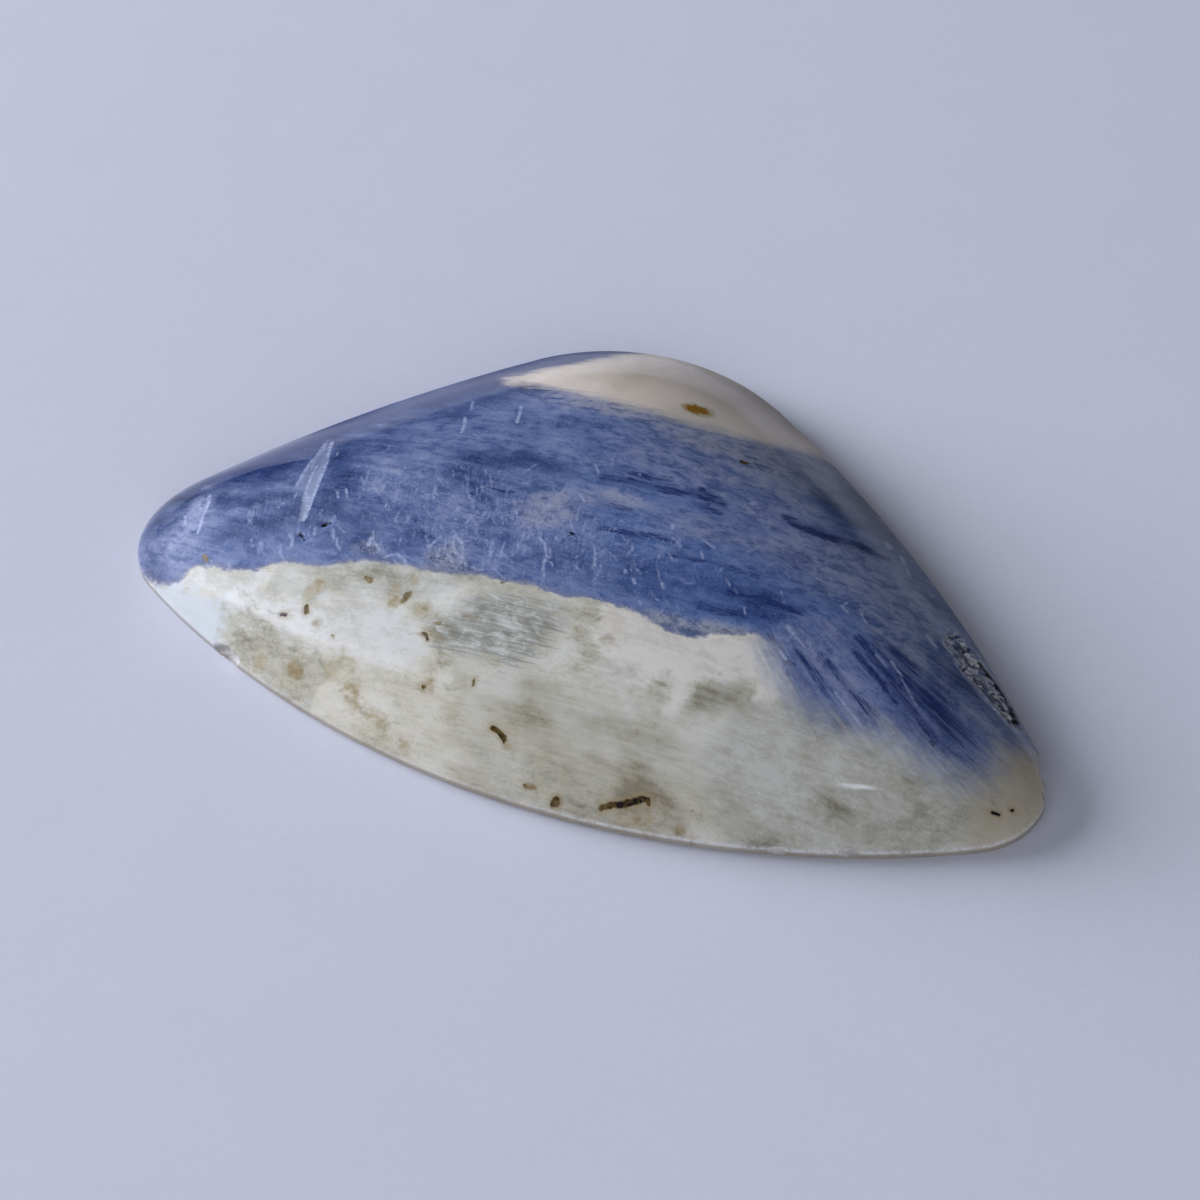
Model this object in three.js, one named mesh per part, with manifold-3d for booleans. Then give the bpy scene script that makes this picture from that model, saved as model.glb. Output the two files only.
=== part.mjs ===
// A polished kyanite cabochon: one domed freeform stone with a rounded-triangle outline and a flat back.
// Millimetres, +Z up. The outline is centred on x = y = 0, its long side runs along X,
// and the flat back lies on z = 0.
import * as THREE from "three";
import { mergeVertices } from "three/addons/utils/BufferGeometryUtils.js";
import Module from "manifold-3d";

// The outline is six tangent arcs: a round corner at each of three places, joined by three long bows.
// Corners run counter-clockwise; each bow runs from its corner to the next one.
const CORNERS = [
  { x: -17.3, y: -5.4, radius: 3.9, bow: 38.6 }, // left tip, then the long front bow
  { x: 17.5, y: -5.2, radius: 3.7, bow: 72.0 }, // right tip, then the right flank
  { x: -2.4, y: 3.8, radius: 10.0, bow: 77.0 }, // back shoulder, then the left flank
];

// The dome: full height at the crown, steep flanks that turn over to a flatter top.
const CROWN = { x: -1.85, y: -0.77 };
const DOME_TOP = 6.3;
const GIRDLE_TOP = 0.5; // upper edge of the thin upright girdle
const SPREAD_POWER = 2.15;
const ROUNDING_POWER = 1.47;

// The back: a narrow bevel between the girdle and the flat face that the stone rests on.
const BEVEL_HEIGHT = 0.2;
const BEVEL_WIDTH = 0.22;

// How finely the round surface is cut into facets.
const OUTLINE_STEPS = 112;
const RING_STEPS = 17;

// Shallow chips broken from the girdle: a place on the edge, and how far each reaches in, along and up.
const CHIPS = [
  { x: -13.7, y: -11.3, reach: 0.2, length: 1.0, height: 0.4 }, // front edge, near the left tip
  { x: -9.9, y: -12.9, reach: 0.14, length: 0.8, height: 0.35 }, // front edge, small
  { x: 11.2, y: -12.4, reach: 0.12, length: 1.2, height: 0.3 }, // front edge, right of the middle
  { x: 20.35, y: -3.2, reach: 0.3, length: 1.15, height: 0.9 }, // back of the right tip
];

// Centre of the bow that touches two corner circles from outside of both, on the stone's own side.
function bowCentre(from, to) {
  const start = new THREE.Vector2(from.x, from.y);
  const along = new THREE.Vector2(to.x, to.y).sub(start);
  const gap = along.length();
  const toStart = from.bow - from.radius;
  const toEnd = from.bow - to.radius;
  const foot = (toStart ** 2 - toEnd ** 2 + gap ** 2) / (2 * gap);
  const inward = Math.sqrt(toStart ** 2 - foot ** 2);
  along.normalize();
  const left = new THREE.Vector2(-along.y, along.x);
  return start.addScaledVector(along, foot).addScaledVector(left, inward);
}

function directionFrom(centre, point) {
  return Math.atan2(point.y - centre.y, point.x - centre.x);
}

// The outline as points, counter-clockwise, evenly spaced and centred on the origin.
function outlinePoints() {
  const centres = CORNERS.map((corner, i) => bowCentre(corner, CORNERS[(i + 1) % CORNERS.length]));
  const shape = new THREE.Shape();
  CORNERS.forEach((corner, i) => {
    const before = centres[(i + CORNERS.length - 1) % CORNERS.length];
    const after = centres[i];
    const next = CORNERS[(i + 1) % CORNERS.length];
    const turnEnd = directionFrom(after, corner);
    shape.absarc(corner.x, corner.y, corner.radius, directionFrom(before, corner), turnEnd, false);
    shape.absarc(after.x, after.y, corner.bow, turnEnd, directionFrom(after, next), false);
  });
  const points = shape.getSpacedPoints(OUTLINE_STEPS).slice(0, OUTLINE_STEPS);
  const middle = new THREE.Box2().setFromPoints(points).getCenter(new THREE.Vector2());
  return points.map((point) => point.sub(middle));
}

// Rings from the flat back up over the girdle to just below the crown.
// A ring is the outline scaled towards the crown by "scale" at height "z".
function ringList() {
  const rings = [
    { inset: BEVEL_WIDTH, scale: 1, z: 0 },
    { inset: 0, scale: 1, z: BEVEL_HEIGHT },
  ];
  for (let i = 0; i < RING_STEPS; i += 1) {
    const scale = Math.cos((i / RING_STEPS) * (Math.PI / 2));
    const rise = (1 - scale ** SPREAD_POWER) ** (1 / ROUNDING_POWER);
    rings.push({ inset: 0, scale, z: GIRDLE_TOP + (DOME_TOP - GIRDLE_TOP) * rise });
  }
  return rings;
}

// One closed surface: a fan under the back, strips between the rings and a fan at the crown.
function domeGeometry() {
  const outline = outlinePoints();
  const count = outline.length;
  const rings = ringList();
  const positions = [];
  rings.forEach(({ inset, scale, z }) => {
    outline.forEach((point) => {
      const arm = new THREE.Vector2(point.x - CROWN.x, point.y - CROWN.y);
      arm.setLength(arm.length() * scale - inset);
      positions.push(CROWN.x + arm.x, CROWN.y + arm.y, z);
    });
  });
  const backCentre = positions.length / 3;
  positions.push(CROWN.x, CROWN.y, 0);
  const crown = positions.length / 3;
  positions.push(CROWN.x, CROWN.y, DOME_TOP);

  const faces = [];
  const lastRing = (rings.length - 1) * count;
  for (let i = 0; i < count; i += 1) {
    const next = (i + 1) % count;
    faces.push(backCentre, next, i);
    faces.push(crown, lastRing + i, lastRing + next);
    for (let ring = 0; ring < rings.length - 1; ring += 1) {
      const low = ring * count;
      const high = low + count;
      faces.push(low + i, low + next, high + next);
      faces.push(low + i, high + next, high + i);
    }
  }
  const geometry = new THREE.BufferGeometry();
  geometry.setAttribute("position", new THREE.Float32BufferAttribute(positions, 3));
  geometry.setIndex(faces);
  return geometry;
}

// A chip's cutter: a rounded lump whose centre sits outside the edge, level with the girdle.
function chipGeometry({ x, y, reach, length, height }) {
  const outward = new THREE.Vector2(x - CROWN.x, y - CROWN.y).normalize();
  const lump = new THREE.IcosahedronGeometry(1, 1);
  lump.scale(2 * reach, length, height);
  lump.rotateZ(outward.angle());
  lump.translate(x + outward.x * reach, y + outward.y * reach, GIRDLE_TOP);
  return lump;
}

const wasm = await Module();
wasm.setup();

function toSolid(geometry) {
  const bare = geometry.clone();
  bare.deleteAttribute("normal");
  bare.deleteAttribute("uv");
  const merged = mergeVertices(bare);
  return new wasm.Manifold(
    new wasm.Mesh({
      numProp: 3,
      vertProperties: merged.attributes.position.array,
      triVerts: new Uint32Array(merged.index.array),
    }),
  );
}

function toGeometry(solid) {
  const { vertProperties, triVerts } = solid.getMesh();
  const geometry = new THREE.BufferGeometry();
  geometry.setAttribute("position", new THREE.BufferAttribute(vertProperties, 3));
  geometry.setIndex(new THREE.BufferAttribute(triVerts, 1));
  geometry.computeVertexNormals();
  return geometry;
}

function makeStone() {
  let solid = toSolid(domeGeometry());
  CHIPS.forEach((chip) => {
    solid = solid.subtract(toSolid(chipGeometry(chip)));
  });
  const material = new THREE.MeshStandardMaterial({
    color: new THREE.Color().setRGB(0.36, 0.42, 0.56, THREE.SRGBColorSpace),
    roughness: 0.25,
    metalness: 0,
  });
  const stone = new THREE.Mesh(toGeometry(solid), material);
  stone.name = "stone";
  return stone;
}

const cabochon = new THREE.Group();
cabochon.add(makeStone());

export default cabochon;
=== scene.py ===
"""A polished kyanite cabochon: blue bladed kyanite in a cream feldspar and quartz matrix.

The stone is one fine mesh in place of the faceted solid. Its shape is worked out in millimetres from
the same few dimensions, and its markings are laid out on it in the same millimetres, seen from above.
"""

import math
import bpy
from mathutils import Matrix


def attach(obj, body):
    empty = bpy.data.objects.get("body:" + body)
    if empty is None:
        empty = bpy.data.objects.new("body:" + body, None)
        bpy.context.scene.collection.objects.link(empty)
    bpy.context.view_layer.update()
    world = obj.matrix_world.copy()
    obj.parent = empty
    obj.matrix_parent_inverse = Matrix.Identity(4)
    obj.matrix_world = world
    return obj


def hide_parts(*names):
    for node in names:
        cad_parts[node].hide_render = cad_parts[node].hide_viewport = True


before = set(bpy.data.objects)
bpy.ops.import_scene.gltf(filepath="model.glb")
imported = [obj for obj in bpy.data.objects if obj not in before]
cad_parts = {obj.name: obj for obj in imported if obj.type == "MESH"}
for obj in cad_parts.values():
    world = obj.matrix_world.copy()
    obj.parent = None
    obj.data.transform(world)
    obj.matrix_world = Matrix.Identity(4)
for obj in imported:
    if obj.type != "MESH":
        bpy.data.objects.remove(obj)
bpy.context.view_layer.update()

from types import SimpleNamespace

import bpy
import numpy as np
from mathutils import Matrix, Vector
from mathutils.geometry import delaunay_2d_cdt

MM = 0.001

# ---------------------------------------------------------------- shape (mm)

# Six tangent arcs: x, y and radius of each round corner, then the radius of the bow to the next one.
CORNERS = (
    (-17.3, -5.4, 3.9, 38.6),  # left tip, front bow
    (17.5, -5.2, 3.7, 72.0),  # right tip, right flank
    (-2.4, 3.8, 10.0, 77.0),  # back shoulder, left flank
)
CROWN = np.array([-1.85, -0.77])
DOME_TOP = 6.3
GIRDLE_TOP = 0.5
SPREAD_POWER = 2.15
ROUNDING_POWER = 1.47
BEVEL_HEIGHT = 0.2
BEVEL_WIDTH = 0.22

# Mesh spacing, and the insets of the close rings where the flank meets the girdle.
SPACING = 0.108
BASE_SPACING = 0.7
RIM_INSETS = (0.0, 0.004, 0.015, 0.035, 0.065, 0.105, 0.16)
RIM_GAP = 0.06
WALL_STEPS = 3

# Broken places on the girdle: x, y, how far each reaches in, its half length and half height.
CHIPS = (
    (-13.7, -11.3, 0.2, 1.0, 0.4),
    (-9.9, -12.9, 0.14, 0.8, 0.35),
    (11.2, -12.4, 0.12, 1.2, 0.3),
    (20.35, -3.2, 0.3, 1.15, 0.9),
    (-8.2, -13.1, 0.12, 0.5, 0.25),
    (8.8, -12.9, 0.1, 0.5, 0.22),
    (14.3, -11.0, 0.1, 0.7, 0.25),
    (20.0, -2.1, 0.12, 0.3, 0.5),
    (20.95, -4.6, 0.06, 0.35, 0.45),
    (20.9, -6.9, 0.05, 0.4, 0.3),
)
# Pits: x, y, radius and depth.
PITS = (
    (-11.65, -6.15, 0.17, 0.14),
    (-11.45, -6.0, 0.1, 0.1),
    (-12.45, -6.8, 0.13, 0.12),
    (-12.25, -6.9, 0.12, 0.1),
    (-10.75, -9.7, 0.12, 0.06),
    (-1.0, -3.5, 0.12, 0.05),
    (-2.6, -5.4, 0.07, 0.05),
)


def bow_centre(start, end):
    """Centre of the bow that touches both corner circles from outside, on the stone's side."""
    here = np.array(start[:2])
    along = np.array(end[:2]) - here
    gap = np.hypot(*along)
    to_start, to_end = start[3] - start[2], start[3] - end[2]
    foot = (to_start**2 - to_end**2 + gap**2) / (2 * gap)
    along = along / gap
    left = np.array([-along[1], along[0]])
    return here + foot * along + math.sqrt(to_start**2 - foot**2) * left


def arc(centre, radius, start, end, count=300):
    """Points counter-clockwise along an arc, without its last one."""
    turn = np.linspace(start, start + (end - start) % (2 * math.pi), count, endpoint=False)
    return centre + radius * np.column_stack([np.cos(turn), np.sin(turn)])


def heading(centre, point):
    return math.atan2(point[1] - centre[1], point[0] - centre[0])


def outline(count):
    """The girdle seen from above: evenly spaced points, counter-clockwise, centred on the origin."""
    size = len(CORNERS)
    centres = [bow_centre(CORNERS[i], CORNERS[(i + 1) % size]) for i in range(size)]
    pieces = []
    for i, corner in enumerate(CORNERS):
        place, following = np.array(corner[:2]), np.array(CORNERS[(i + 1) % size][:2])
        before, after = centres[i - 1], centres[i]
        turn_end = heading(after, place)
        pieces.append(arc(place, corner[2], heading(before, place), turn_end))
        pieces.append(arc(after, corner[3], turn_end, heading(after, following)))
    dense = np.vstack(pieces)
    dense -= (dense.min(axis=0) + dense.max(axis=0)) / 2
    closed = np.vstack([dense, dense[:1]])
    walked = np.concatenate([[0], np.cumsum(np.hypot(*np.diff(closed, axis=0).T))])
    stops = np.linspace(0, walked[-1], count, endpoint=False)
    return np.column_stack([np.interp(stops, walked, closed[:, k]) for k in (0, 1)])


FINE_OUTLINE = outline(4000)


def reach(x, y):
    """How far out a place is: 0 at the crown and 1 on the girdle."""
    arms = FINE_OUTLINE - CROWN
    turn = np.arctan2(arms[:, 1], arms[:, 0])
    order = np.argsort(turn)
    far = np.interp(
        np.arctan2(y - CROWN[1], x - CROWN[0]),
        turn[order],
        np.hypot(*arms.T)[order],
        period=2 * math.pi,
    )
    return np.hypot(x - CROWN[0], y - CROWN[1]) / far


def dome_height(x, y):
    rise = np.clip(1 - reach(x, y) ** SPREAD_POWER, 0, 1) ** (1 / ROUNDING_POWER)
    return GIRDLE_TOP + (DOME_TOP - GIRDLE_TOP) * rise


# ---------------------------------------------------------------- noise in code


def hashed(i, j, seed):
    """A repeatable number from 0 to 1 for each cell of a lattice."""
    mask = np.uint64(0xFFFFFFFF)
    mixed = i.astype(np.int64) * 374761393 + j.astype(np.int64) * 668265263 + seed * 1442695041
    h = mixed.astype(np.uint64) & mask
    h = ((h ^ (h >> np.uint64(13))) * np.uint64(1274126177)) & mask
    return (h ^ (h >> np.uint64(16))).astype(float) / float(0xFFFFFFFF)


def lattice_noise(x, y, seed):
    """Smooth noise from -1 to 1 with cells one unit wide."""
    i, j = np.floor(x), np.floor(y)
    fx, fy = x - i, y - j
    fx, fy = fx * fx * (3 - 2 * fx), fy * fy * (3 - 2 * fy)
    near = hashed(i, j, seed) * (1 - fx) + hashed(i + 1, j, seed) * fx
    far = hashed(i, j + 1, seed) * (1 - fx) + hashed(i + 1, j + 1, seed) * fx
    return 2 * (near * (1 - fy) + far * fy) - 1


def fractal(x, y, seed, octaves=4):
    total, size = np.zeros_like(x), 1.0
    for k in range(octaves):
        total += size * lattice_noise(x * 2**k, y * 2**k, seed + k)
        size *= 0.55
    return total


# ---------------------------------------------------------------- marks, in mm seen from above


def segment_distance(x, y, a, b):
    ax, ay = a
    dx, dy = b[0] - ax, b[1] - ay
    along = np.clip(((x - ax) * dx + (y - ay) * dy) / (dx * dx + dy * dy), 0, 1)
    return np.hypot(x - ax - along * dx, y - ay - along * dy)


def path_distance(x, y, path):
    """Distance to an open line through the path's points."""
    return np.min([segment_distance(x, y, a, b) for a, b in zip(path, path[1:])], axis=0)


def inside(x, y, corners):
    """Signed distance to a closed outline, positive inside."""
    ring = list(corners) + [corners[0]]
    crossings = np.zeros(x.shape, bool)
    for (ax, ay), (bx, by) in zip(ring, ring[1:]):
        spans = (ay > y) != (by > y)
        level = by - ay if by != ay else 1e-9
        crossings ^= spans & (x < ax + (y - ay) * (bx - ax) / level)
    return np.where(crossings, 1, -1) * path_distance(x, y, ring)


def soft(value, low, high):
    """0 below low, 1 above high, and smooth between them."""
    t = np.clip((value - low) / (high - low), 0, 1)
    return t * t * (3 - 2 * t)


# Where the blue kyanite ends and the matrix begins, along the front, from the left tip to the right one.
KYANITE_EDGE = (
    (-24, -7.6), (-20.6, -8.2), (-19.0, -8.95), (-18.2, -9.1), (-17.6, -9.1), (-17.3, -8.8),
    (-16.9, -8.55), (-15.4, -8.6), (-13.8, -8.55), (-13.2, -8.25), (-12.6, -8.05), (-11.0, -8.0),
    (-10.0, -7.65), (-9.2, -7.35), (-7.4, -7.15), (-5.0, -7.0), (-3.9, -6.75), (-2.8, -6.65),
    (0.0, -6.5), (1.6, -6.3), (3.2, -6.1), (3.7, -6.3), (4.5, -6.45), (5.8, -6.3), (6.4, -5.9),
    (7.1, -5.5), (8.0, -5.05), (8.6, -5.3), (9.2, -5.65), (9.8, -6.2), (10.6, -6.7), (11.6, -7.15),
    (12.8, -7.0), (14.0, -6.75), (15.4, -6.6), (16.6, -6.75), (17.8, -6.7), (18.5, -6.1),
    (18.7, -5.2), (18.9, -4.2), (19.5, -3.5), (20.2, -2.9), (24, -1.0), (24, 16), (-24, 16),
)  # fmt: skip
CAP = (
    (-8.8, 6.3), (-8.2, 5.75), (-6.5, 5.5), (-4.0, 5.4), (-2.0, 5.4), (-0.4, 5.45), (1.0, 5.75),
    (2.4, 6.2), (3.8, 6.95), (5.0, 8.2), (6.2, 9.8), (6.0, 15.0), (-3.5, 15.0), (-4.4, 11.5),
    (-5.3, 9.3), (-6.6, 7.9), (-8.0, 6.9),
)  # fmt: skip
SECOND_BLADES = (
    (7.9, -5.05), (8.6, -4.4), (9.2, -3.8), (9.6, -3.35), (10.4, -3.1), (10.9, -2.6), (11.4, -2.3),
    (12.6, -2.1), (14.5, -1.8), (16.2, -1.9), (18.0, -2.7), (24.0, -3.0), (24.0, -16.0), (7.9, -16.0),
)  # fmt: skip
SECOND_BLADES_ROOT = (1.5, 1.9)

# Thin navy seams between blades: a half width and a path.
SEAMS = (
    (0.12, (-1.1, 0.05), (-0.2, 0.3), (1.2, 0.55), (2.6, 0.9), (4.1, 1.1)),
    (0.08, (-0.5, 0.85), (0.8, 0.9), (1.5, 1.25)),
    (0.08, (3.3, 0.42), (4.2, 0.4)),
    (0.05, (3.0, 1.35), (4.0, 1.3)),
    (0.16, (6.7, 2.0), (7.2, 1.9)),
    (0.22, (7.6, 1.85), (8.4, 2.1), (9.4, 2.5), (9.9, 2.8)),
    (0.14, (10.2, 2.9), (11.0, 3.1)),
    (0.06, (-5.4, -2.35), (-4.5, -2.45)),
    (0.05, (-6.0, -2.95), (-5.0, -3.05)),
    (0.07, (0.0, -2.75), (1.6, -2.55), (3.1, -2.2)),
    (0.05, (-0.6, -1.5), (0.8, -1.3)),
    (0.05, (3.2, -2.9), (4.8, -2.6), (7.0, -2.4)),
    (0.1, (6.3, -3.7), (7.6, -3.5), (9.4, -3.1)),
    (0.06, (5.4, -4.9), (6.8, -4.6), (8.0, -4.2)),
    (0.14, (12.0, -3.2), (13.2, -4.0), (14.6, -4.9), (16.4, -5.95)),
    (0.07, (12.6, -3.1), (14.0, -3.9), (15.4, -4.7)),
    (0.1, (13.2, -2.9), (14.6, -3.6), (16.2, -4.5)),
    (0.06, (12.1, -3.9), (13.2, -4.6), (14.4, -5.3)),
    (0.05, (8.6, -5.0), (9.7, -5.65), (10.8, -6.3)),
    (0.03, (9.9, -5.2), (11.6, -6.1)),
    (0.03, (11.2, -5.0), (12.8, -5.9), (14.0, -6.4)),
)
# Clouds are x, y, half length, half width, tilt in degrees and strength.
# Deep clouds are darker and bluer than the rest; the ones tilted 38 to 42 degrees are painted shade on
# the left flank.
DEEP_AND_SHADE_CLOUDS = (
    (-5.4, -0.7, 3.2, 0.8, 5, 0.85),
    (-3.4, -0.2, 1.3, 0.6, 12, 0.5),
    (-6.9, -1.7, 1.3, 0.8, -20, 0.55),
    (-6.1, -2.5, 0.9, 0.5, -30, 0.5),
    (-12.6, -2.8, 0.6, 1.3, 20, 0.65),
    (-12.0, -3.7, 0.5, 0.8, 10, 0.6),
    (-11.9, -5.3, 0.6, 0.7, 0, 0.45),
    (-10.0, -5.9, 1.8, 0.9, 0, 0.3),
    (-7.9, -6.3, 0.9, 0.7, 0, 0.4),
    (-3.0, -5.2, 2.4, 0.7, 4, 0.3),
    (-4.3, -4.25, 0.8, 0.3, 6, 0.5),
    (4.5, -4.2, 6.5, 1.5, 4, 0.5),
    (7.2, -3.6, 2.9, 0.7, 6, 0.55),
    (2.3, -5.1, 2.6, 0.6, 3, 0.3),
    (8.8, 2.3, 2.6, 0.7, 16, 0.55),
    (3.4, 1.1, 1.4, 0.5, 8, 0.35),
    (7.4, 5.1, 1.9, 0.7, -26, 0.75),
    (8.9, 5.9, 2.6, 1.3, -30, 0.4),
    (13.4, 2.3, 0.8, 0.45, -15, 0.6),
    (7.6, -0.6, 1.5, 0.5, 5, 0.4),
    (9.7, 0.3, 1.6, 0.7, 5, 0.3),
    (15.3, -3.9, 3.4, 1.1, -31, 0.8),
    (16.8, -5.1, 1.7, 0.8, -31, 0.4),
    (16.4, -1.9, 2.6, 0.7, -33, 0.4),
    (-15.8, -3.2, 1.6, 1.8, 0, 0.25),
    (-20.3, -6.3, 0.7, 1.6, 0, 0.3),
    (-9.4, 7.4, 2.4, 0.6, 38, 0.5),
    (-4.6, 10.6, 2.0, 0.5, 38, 0.4),
    (-15.2, -0.4, 6.5, 3.6, 42, 0.75),
    (-9.6, 4.6, 5.5, 2.8, 40, 0.75),
    (-20.1, -5.9, 1.0, 2.2, 10, 0.75),
    (-19.2, -4.3, 1.9, 1.3, 35, 0.8),
    (-16.0, -3.2, 2.4, 2.0, 10, 0.3),
    (-12.2, -3.4, 1.5, 1.5, 0, 0.6),
    (-12.4, -5.6, 3.6, 1.1, 4, 0.5),
    (-15.0, -7.0, 2.2, 0.8, 0, 0.55),
    (-9.6, -7.0, 1.5, 0.6, 4, 0.6),
    (3.6, -0.9, 2.6, 0.8, 6, 0.3),
    (-15.0, -5.2, 1.9, 0.45, 12, 0.75),
    (-16.9, -5.6, 0.6, 0.8, 20, 0.6),
    (-19.0, -8.3, 1.1, 0.35, -32, 0.5),
    (-15.2, -6.6, 1.9, 0.25, 3, 0.4),
    (-4.2, 10.2, 5.0, 1.8, 38, 0.45),
    (15.6, 2.6, 3.4, 1.0, -46, 0.8),
    (9.2, 6.2, 3.6, 1.0, -42, 0.75),
    (8.4, 4.6, 1.4, 0.9, -26, 0.5),
    (-8.6, -3.6, 1.6, 1.0, -6, 0.45),
    (15.6, -2.6, 1.4, 0.6, -31, 0.5),
    (-7.0, 7.0, 2.2, 1.0, 38, 0.5),
    (-14.6, -0.2, 2.0, 0.8, 40, 0.4),
)
# Pale clouds are milky and greyish.
PALE_CLOUDS = (
    (-9.3, -2.9, 2.3, 1.3, -6, 0.42),
    (-10.4, -3.9, 0.9, 0.35, 8, 0.4),
    (-2.6, -2.7, 2.1, 1.4, 25, 0.75),
    (-0.4, -0.9, 1.9, 0.7, 8, 0.7),
    (-6.4, -3.8, 2.0, 0.7, 8, 0.35),
    (3.4, -1.0, 2.6, 1.0, 10, 0.45),
    (5.6, 0.9, 2.4, 0.7, 12, 0.4),
    (11.9, 0.0, 2.2, 1.2, -12, 0.6),
    (13.0, 1.6, 1.4, 0.9, -35, 0.45),
    (14.0, -0.4, 1.5, 0.7, -35, 0.4),
    (-5.5, -5.9, 0.7, 0.9, -35, 0.5),
    (-18.3, -6.2, 0.7, 1.9, 10, 0.85),
    (-17.9, -8.2, 0.9, 0.4, -30, 0.6),
    (-15.2, -5.4, 1.6, 0.5, 8, 0.35),
    (-12.8, 0.4, 3.0, 1.2, 40, 0.3),
    (10.6, -4.9, 2.9, 1.0, -31, 0.5),
    (13.4, -5.8, 2.6, 0.8, -31, 0.5),
    (10.4, -3.3, 1.3, 0.5, -10, 0.35),
    (17.9, -3.7, 1.6, 1.0, -40, 0.5),
    (-6.5, 4.7, 2.6, 0.8, 0, 0.35),
    (4.0, 4.8, 3.4, 0.9, 5, 0.7),
    (-3.0, 4.8, 3.2, 0.8, 8, 0.95),
    (2.6, 1.4, 4.4, 1.2, 6, 0.4),
    (12.6, 0.3, 2.4, 1.2, -30, 0.5),
    (14.6, -2.6, 3.0, 1.0, -31, 0.5),
    (2.6, 5.0, 5.0, 1.3, 4, 0.85),
    (3.0, 6.8, 3.0, 1.2, -20, 0.95),
    (2.6, 2.9, 5.0, 1.6, 4, 0.45),
    (9.8, 0.8, 3.9, 2.2, -8, 0.8),
    (6.0, 3.6, 2.4, 0.9, -14, 0.6),
    (8.6, -0.9, 4.5, 1.3, 0, 0.35),
    (13.4, -1.8, 2.9, 1.5, -30, 0.75),
    (16.6, -3.9, 1.4, 0.6, -31, 0.5),
    (-3.0, 0.6, 3.0, 0.6, 6, 0.25),
)
# Warm clouds turn the milky parts brownish, where the kyanite thins out over the matrix.
WARM_CLOUDS = (
    (-2.6, -2.7, 1.9, 1.3, 25, 0.8),
    (-0.6, -0.9, 1.7, 0.5, 8, 0.5),
    (12.2, -0.2, 2.0, 1.0, -12, 0.2),
    (-10.4, -3.9, 0.8, 0.3, 8, 0.5),
    (-2.8, 4.8, 3.2, 0.8, 8, 1.0),
    (-5.2, -6.7, 1.0, 0.5, 12, 0.9),
    (5.0, -5.9, 2.2, 0.4, 12, 1.0),
    (-12.6, -1.1, 1.2, 0.3, -6, 0.7),
    (19.0, -3.6, 1.0, 1.0, -40, 0.8),
    (2.6, 5.2, 5.0, 1.2, 4, 0.9),
    (4.0, 6.6, 2.2, 0.9, -20, 0.8),
    (16.2, -1.5, 3.2, 0.9, -38, 0.6),
)
# Painted light: on the right the light comes up through the stone and lifts its colour.
PAINTED_LIGHT_CLOUDS = (
    (9.6, 1.1, 5.8, 2.6, -10, 1.0),
    (2.6, 6.6, 3.8, 1.7, -14, 1.0),
    (0.4, 5.1, 3.0, 0.8, 8, 0.6),
    (17.8, -5.2, 1.6, 0.8, -35, 0.8),
    (13.8, -5.6, 1.6, 0.6, -33, 0.8),
    (2.6, 1.0, 3.4, 1.4, 6, 0.35),
)
# Grey parts stand over both kinds of cloud: a strength and an outline.
GREY_BANDS = (
    (0.85, (3.4, -5.9), (4.6, -5.7), (6.3, -5.3), (7.6, -5.0), (6.8, -5.9), (3.6, -6.5)),
    (0.6, (-6.6, -6.4), (-5.6, -5.4), (-5.0, -6.0), (-4.0, -6.7), (-5.0, -7.1), (-6.1, -7.2)),
    (0.5, (-9.9, -7.0), (-9.3, -6.1), (-8.7, -6.4), (-8.1, -7.1)),
)
# The wedge of parted cleavage near the left tip.
FEATHER = (
    (-14.35, -0.5), (-13.95, -1.4), (-13.5, -2.3), (-13.1, -3.4), (-12.8, -4.6), (-12.62, -5.9),
    (-12.8, -6.4), (-13.1, -5.4), (-13.45, -4.6), (-13.9, -4.7), (-14.0, -3.6), (-14.1, -2.0),
)  # fmt: skip
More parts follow.
